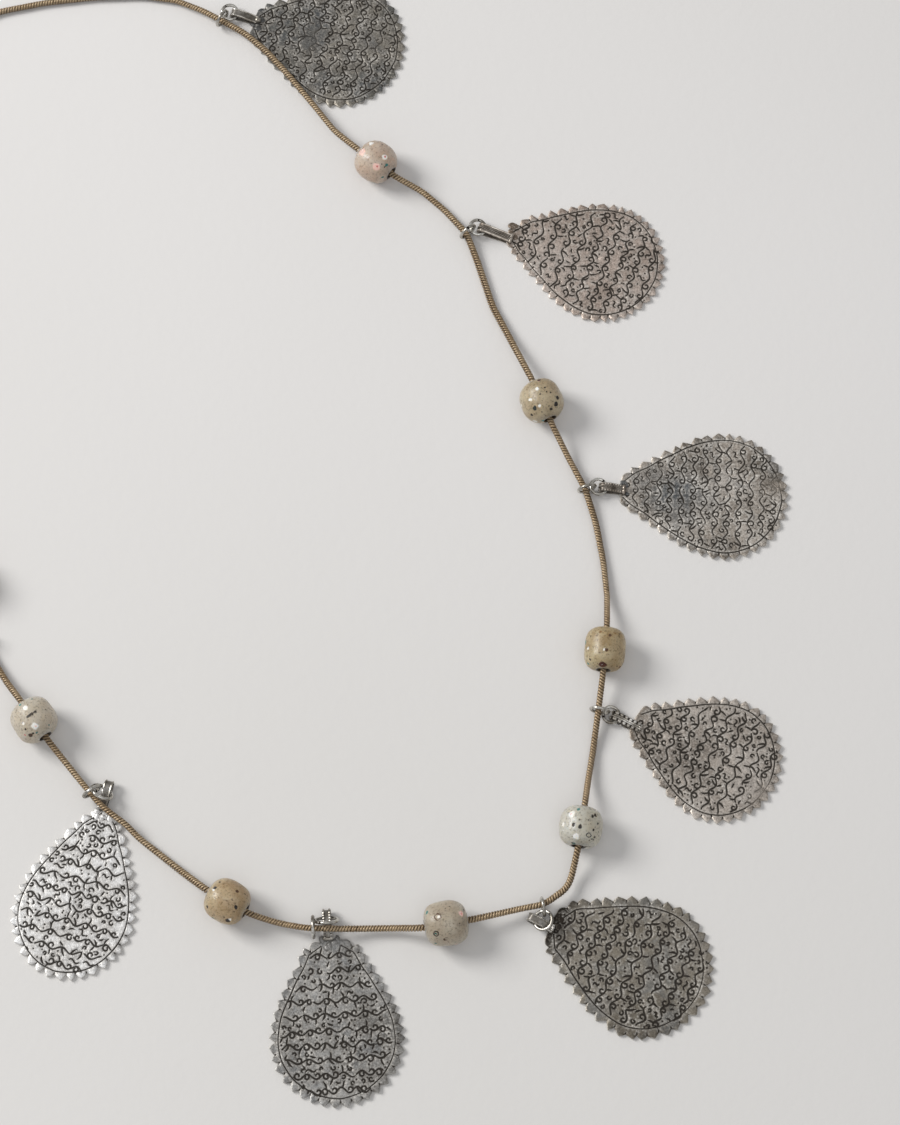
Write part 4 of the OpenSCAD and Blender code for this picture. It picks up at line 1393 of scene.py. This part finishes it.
# marks: to the right and up as the front view shows the bead, radius (mm), colour, kind
BEAD_LOOK = {
    1: dict(power=2.45, body=srgb(208, 184, 166), deep=srgb(134, 112, 92), haze=srgb(222, 204, 188), palette=PAL, marks=[
        (-3.3, 2.0, 1.0, ROSE, "spot"), (-1.1, 4.4, 0.7, WHITE, "spot"), (2.3, 0.7, 0.75, WHITE, "spot"), (2.4, 0.7, 0.34, PINK, "spot"),
        (0.3, -1.7, 0.95, ROSE, "spot"), (0.4, -1.6, 0.42, RED, "spot"), (2.7, -1.2, 0.34, TEAL, "spot"), (1.7, -4.0, 0.36, TEAL, "spot"),
        (2.2, -1.8, 0.22, BROWN, "spot"), (-1.8, 0.5, 0.9, srgb(232, 216, 206), "haze")]),
    2: dict(power=2.5, body=srgb(182, 164, 134), deep=srgb(98, 82, 58), haze=srgb(208, 194, 166), palette=PAL, marks=[
        (-1.2, 2.6, 0.52, WHITE, "spot"), (-2.9, 0.0, 0.45, WHITE, "spot"), (-0.7, -1.4, 0.4, WHITE, "spot"), (-0.7, 4.8, 0.6, DARK, "pit"),
        (-0.7, 4.6, 0.25, PINK, "spot"), (-0.6, 1.4, 0.30, DARK, "pit"), (1.0, 1.8, 0.40, DARK, "pit"), (2.0, 1.7, 0.36, DARK, "pit"),
        (3.6, 0.5, 0.62, DARK, "pit"), (3.3, -0.9, 0.78, DARK, "pit"), (2.1, -2.1, 0.5, DARK, "pit"), (1.5, -1.5, 0.32, DARK, "pit"),
        (-1.8, -2.0, 0.66, srgb(44, 52, 50), "pit"), (-2.5, -3.5, 0.45, DARK, "pit"), (0.6, 3.0, 0.25, DARK, "pit")]),
    3: dict(power=3.3, wide=0.95, body=srgb(174, 152, 114), deep=srgb(92, 72, 44), haze=srgb(206, 190, 156), palette=PAL, marks=[
        (-4.1, 0.3, 0.36, WHITE, "spot"), (0.1, 0.0, 0.55, BROWN, "pit"), (-0.4, 0.0, 0.3, WHITE, "spot"), (3.5, 0.2, 0.32, DARK, "pit"),
        (1.0, 3.5, 0.48, BROWN, "pit"), (-3.7, -2.3, 0.32, DARK, "pit"), (-0.7, -3.5, 0.95, srgb(70, 32, 24), "spot"), (-0.9, -3.4, 0.2, WHITE, "spot"),
        (3.4, -4.0, 0.5, BROWN, "pit"), (2.2, 3.9, 0.7, srgb(120, 92, 58), "haze"), (-1.2, 4.1, 0.8, srgb(120, 92, 58), "haze")]),
    4: dict(power=3.0, body=srgb(208, 202, 186), deep=srgb(126, 120, 102), haze=srgb(224, 220, 208), palette=PAL, marks=[
        (-2.3, 3.2, 0.75, WHITE, "spot"), (-2.3, 3.2, 0.40, PINK, "spot"), (2.5, 2.7, 0.6, DARK, "pit"), (3.2, 3.0, 0.55, DARK, "pit"),
        (1.8, 2.1, 0.3, DARK, "pit"), (-1.9, 0.8, 0.55, DARK, "pit"), (-0.4, 0.5, 0.6, DARK, "pit"), (-4.2, 0.9, 0.5, WHITE, "spot"),
        (-1.4, -1.8, 0.75, WHITE, "spot"), (1.6, -1.5, 0.5, DARK, "ring"), (2.7, -0.4, 0.25, DARK, "pit"), (3.4, 0.2, 0.26, DARK, "pit"),
        (3.9, -0.9, 0.26, DARK, "pit"), (3.0, -2.0, 0.30, DARK, "pit"), (2.3, -2.5, 0.26, DARK, "pit"), (4.0, -1.8, 0.26, DARK, "pit"),
        (3.7, 0.9, 0.24, DARK, "pit"), (-1.9, -3.5, 0.52, srgb(24, 58, 54), "spot"), (-0.7, 4.4, 0.4, TEAL, "spot"), (1.0, -4.4, 0.45, DARK, "pit"),
        (1.9, -4.4, 0.4, DARK, "pit")]),
    5: dict(power=3.0, body=srgb(184, 171, 152), deep=srgb(112, 98, 78), haze=srgb(206, 197, 180), palette=PAL, marks=[
        (-1.9, 2.0, 0.72, BROWN, "ring"), (-1.8, 2.0, 0.34, WHITE, "spot"), (3.4, 2.6, 0.6, ROSE, "spot"), (3.5, 2.6, 0.3, PINK, "spot"),
        (4.0, 3.3, 0.34, DARK, "pit"), (-2.3, -1.8, 0.55, DARK, "ring"), (-2.3, -1.8, 0.2, TEAL, "spot"), (0.0, -3.2, 0.46, BROWN, "ring"),
        (-4.3, 2.8, 0.4, TEAL, "spot"), (-2.4, -4.3, 0.36, TEAL, "spot"), (3.2, -3.2, 0.24, BROWN, "pit"), (0.4, -4.2, 0.3, BROWN, "pit")]),
    6: dict(power=2.8, body=srgb(181, 156, 120), deep=srgb(100, 76, 46), haze=srgb(210, 190, 158), palette=PAL, marks=[
        (-2.6, 3.4, 0.62, DARK, "pit"), (-2.9, 3.0, 0.34, WHITE, "spot"), (-2.4, 1.3, 1.0, srgb(214, 202, 180), "haze"), (-2.5, 1.2, 0.24, DARK, "pit"),
        (-1.6, 4.7, 0.34, DARK, "pit"), (2.5, 2.7, 0.55, BROWN, "pit"), (0.2, -0.4, 0.24, DARK, "pit"), (2.3, -0.9, 0.5, DARK, "pit"),
        (1.7, -1.9, 0.34, DARK, "pit"), (0.3, -4.0, 0.8, DARK, "pit"), (0.8, -3.8, 0.42, WHITE, "spot"), (-4.4, -1.0, 0.4, DARK, "pit"),
        (4.2, 2.0, 0.24, DARK, "pit"), (1.4, 0.8, 0.2, BROWN, "pit")]),
    7: dict(power=2.7, body=srgb(206, 194, 176), deep=srgb(126, 112, 92), haze=srgb(222, 212, 196), palette=PAL, marks=[
        (-0.8, 1.0, 0.42, srgb(66, 60, 52), "spot"), (-0.3, 1.3, 0.42, srgb(66, 60, 52), "spot"), (0.3, 1.6, 0.42, srgb(66, 60, 52), "spot"),
        (0.9, 2.0, 0.36, srgb(66, 60, 52), "spot"), (-1.5, 3.1, 0.62, WHITE, "spot"), (1.7, 2.3, 0.5, srgb(226, 218, 206), "haze"),
        (0.9, -1.1, 0.82, WHITE, "spot"), (0.9, -1.1, 0.44, ROSE, "spot"), (1.0, -1.2, 0.22, RED, "spot"), (-1.4, -1.9, 0.34, DARK, "pit"),
        (-1.9, -0.6, 0.38, WHITE, "spot"), (-1.6, -3.3, 0.36, PINK, "spot"), (-0.3, -3.4, 0.55, srgb(70, 50, 34), "spot"), (0.4, -2.9, 0.34, DARK, "pit"),
        (1.2, -2.7, 0.28, TEAL, "spot"), (3.9, -1.0, 0.32, TEAL, "spot"), (-2.8, 3.6, 0.32, TEAL, "spot"), (-0.2, 4.9, 0.3, TEAL, "spot")]),
    8: dict(power=2.7, body=srgb(170, 156, 132), deep=srgb(106, 90, 66), haze=srgb(190, 178, 156), palette=PAL, marks=[
        (-1.5, 1.2, 0.55, WHITE, "spot"), (1.4, -1.2, 0.45, DARK, "pit"), (2.2, 2.0, 0.45, TEAL, "spot"), (-2.4, -1.8, 0.4, PINK, "spot")]),
}

# ---------------------------------------------------------------- drop tones
wire_mid = wire_material("bail_wire_mid", srgb(116, 106, 95), srgb(172, 162, 150), srgb(222, 214, 203), 0.28)
wire_bright = wire_material("bail_wire_bright", srgb(124, 118, 108), srgb(178, 173, 164), srgb(226, 223, 217), 0.24)


def ribs_twist(w):
    return [(-w / 2 + 0.24, "wire", 0.25), (w / 2 - 0.24, "wire", 0.25), (0.0, "twist", 0.30)]


def ribs_beaded(w):
    return [(-w / 2 + 0.22, "bead", 0.25), (w / 2 - 0.22, "bead", 0.25), (0.0, "twist", 0.26)]


def ribs_grains(w):
    return [(-w / 2 + 0.26, "grain", 0.40), (w / 2 - 0.26, "grain", 0.40), (-0.2, "wire", 0.19), (0.24, "wire", 0.19)]


def ribs_plain(w):
    return [(-w / 2 + 0.2, "wire", 0.22), (w / 2 - 0.2, "wire", 0.22), (-w * 0.13, "bead", 0.17), (w * 0.13, "bead", 0.17)]


def ribs_smooth(w):
    return [(-w / 2 + 0.2, "wire", 0.20), (w / 2 - 0.2, "wire", 0.20)]


def ribs_two(w):
    return [(-w / 2 + 0.3, "bead", 0.30), (w / 2 - 0.3, "bead", 0.30)]


def tip_dark(u, v, o):
    return np.clip(1 - (u - 1.0) / 7.0, 0, 1) ** 1.3


def centre_blue(u, v, o):
    a = np.exp(-(((u - 15) / 6.5) ** 2 + ((v + 1.0) / 6.0) ** 2))
    return np.clip(a * 1.1, 0, 1)


def all_over(u, v, o):
    return 0.35 + 0.5 * np.clip(1 - u / 26.0, 0, 1)


# name, colours, wear of the cutting, specks, stain, distance of the border line inside the notches
# the dark, mid and light colours of each pendant hold its own tarnish and also painted reflection: pendant 7 is
# lightened and pendants 1 and 5 darkened as if mirroring brighter or darker surroundings
TONES = {
    1: dict(mat=("pendant_silver_1", srgb(98, 98, 92), srgb(144, 138, 127), srgb(174, 166, 152)), cool=srgb(98, 104, 110), speck=0.6,
            wear=0.22, stain=(srgb(74, 80, 86), 0.8), stain_f=all_over, ribs=ribs_smooth, wire=wire_bright, band=0.85, end="ball", line=0.33),
    2: dict(mat=("pendant_silver_2", srgb(168, 152, 140), srgb(194, 178, 166), srgb(212, 198, 187)), speck=0.5, line=0.38, pitch=3.4, rimdark=0.5,
            wear=0.20, stain=(srgb(104, 90, 74), 0.85), stain_f=tip_dark, ribs=ribs_twist, wire=wire_mid, band=0.75),
    3: dict(mat=("pendant_silver_3", srgb(116, 108, 98), srgb(176, 166, 154), srgb(212, 204, 194)), cool=srgb(116, 120, 122), speck=0.6, burr_wall_sheen_amount=0.95,
            line=0.31, pitch=2.7, wear=0.26, rimdark=0.7, stain=(srgb(84, 92, 98), 0.85), stain_f=centre_blue, ribs=ribs_beaded, wire=wire_mid, band=0.65),
    4: dict(mat=("pendant_silver_4", srgb(134, 125, 116), srgb(178, 168, 157), srgb(204, 195, 185)), speck=0.5, line=0.40, pitch=3.4,
            wear=0.22, stain=(srgb(88, 74, 56), 0.6), stain_f=tip_dark, ribs=ribs_grains, wire=wire_bright, band=0.85, end="knob"),
    5: dict(mat=("pendant_silver_5", srgb(98, 92, 82), srgb(130, 123, 110), srgb(148, 141, 130)), cool=srgb(110, 114, 116), speck=0.36, line=0.42, pitch=3.6,
            wear=0.16, stain=(srgb(40, 35, 29), 1.0), stain_f=tip_dark, ribs=ribs_smooth, wire=wire_bright, band=1.35, end="none"),
    6: dict(mat=("pendant_silver_6", srgb(100, 98, 94), srgb(142, 140, 136), srgb(176, 175, 172)), cool=srgb(120, 123, 126), speck=0.5, line=0.40, pitch=3.3,
            wear=0.22, stain=(srgb(150, 149, 147), 0.5), stain_f=tip_dark, ribs=ribs_two, wire=wire_bright, band=1.05),
    7: dict(mat=("pendant_silver_7", srgb(196, 194, 191), srgb(224, 223, 221), srgb(240, 240, 239)), speck=0.30, line=0.38, pitch=3.3,
            wear=0.14, stain=(srgb(204, 203, 202), 0.4), stain_f=tip_dark, ribs=ribs_smooth, wire=wire_bright, band=0.70, rimdark=0.35),
    8: dict(mat=("pendant_silver_8", srgb(106, 101, 93), srgb(152, 146, 136), srgb(186, 180, 171)), speck=0.5, pitch=3.4, line=0.38,
            wear=0.22, stain=(srgb(80, 68, 54), 0.7), stain_f=tip_dark, ribs=ribs_beaded, wire=wire_bright, band=0.95),
    9: dict(mat=("pendant_silver_9", srgb(110, 107, 100), srgb(158, 154, 145), srgb(194, 189, 180)), speck=0.45, pitch=3.4, line=0.38,
            wear=0.22, stain=(srgb(80, 70, 58), 0.7), stain_f=tip_dark, ribs=ribs_plain, wire=wire_bright, band=0.95),
}

build_chain()
for n in range(1, 10):
    t = TONES[n]
    nm, dk, md, lt = t["mat"]
    t["mat"] = silver_material(nm, dk, md, lt, stain=t["stain"], seed=float(n), speck=t["speck"], cool=t.get("cool"), rough=t.get("rough", 0.42), burr_wall_sheen_amount=t.get("burr_wall_sheen_amount", 0.6))
    t["bail_w"] = max(PLATES[n - 1][7], 2.0)
    build_drop(n, t)
build_rings()
for n in range(1, 9):
    build_bead(n, BEAD_LOOK[n])

# the clasp keeps its solid and gets plain turned silver
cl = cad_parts["clasp"]
cm = wire_material("clasp_silver", srgb(110, 106, 98), srgb(150, 147, 139), srgb(188, 186, 180), 0.3)
if cl.data.materials:
    for i in range(len(cl.data.materials)):
        cl.data.materials[i] = cm
else:
    cl.data.materials.append(cm)
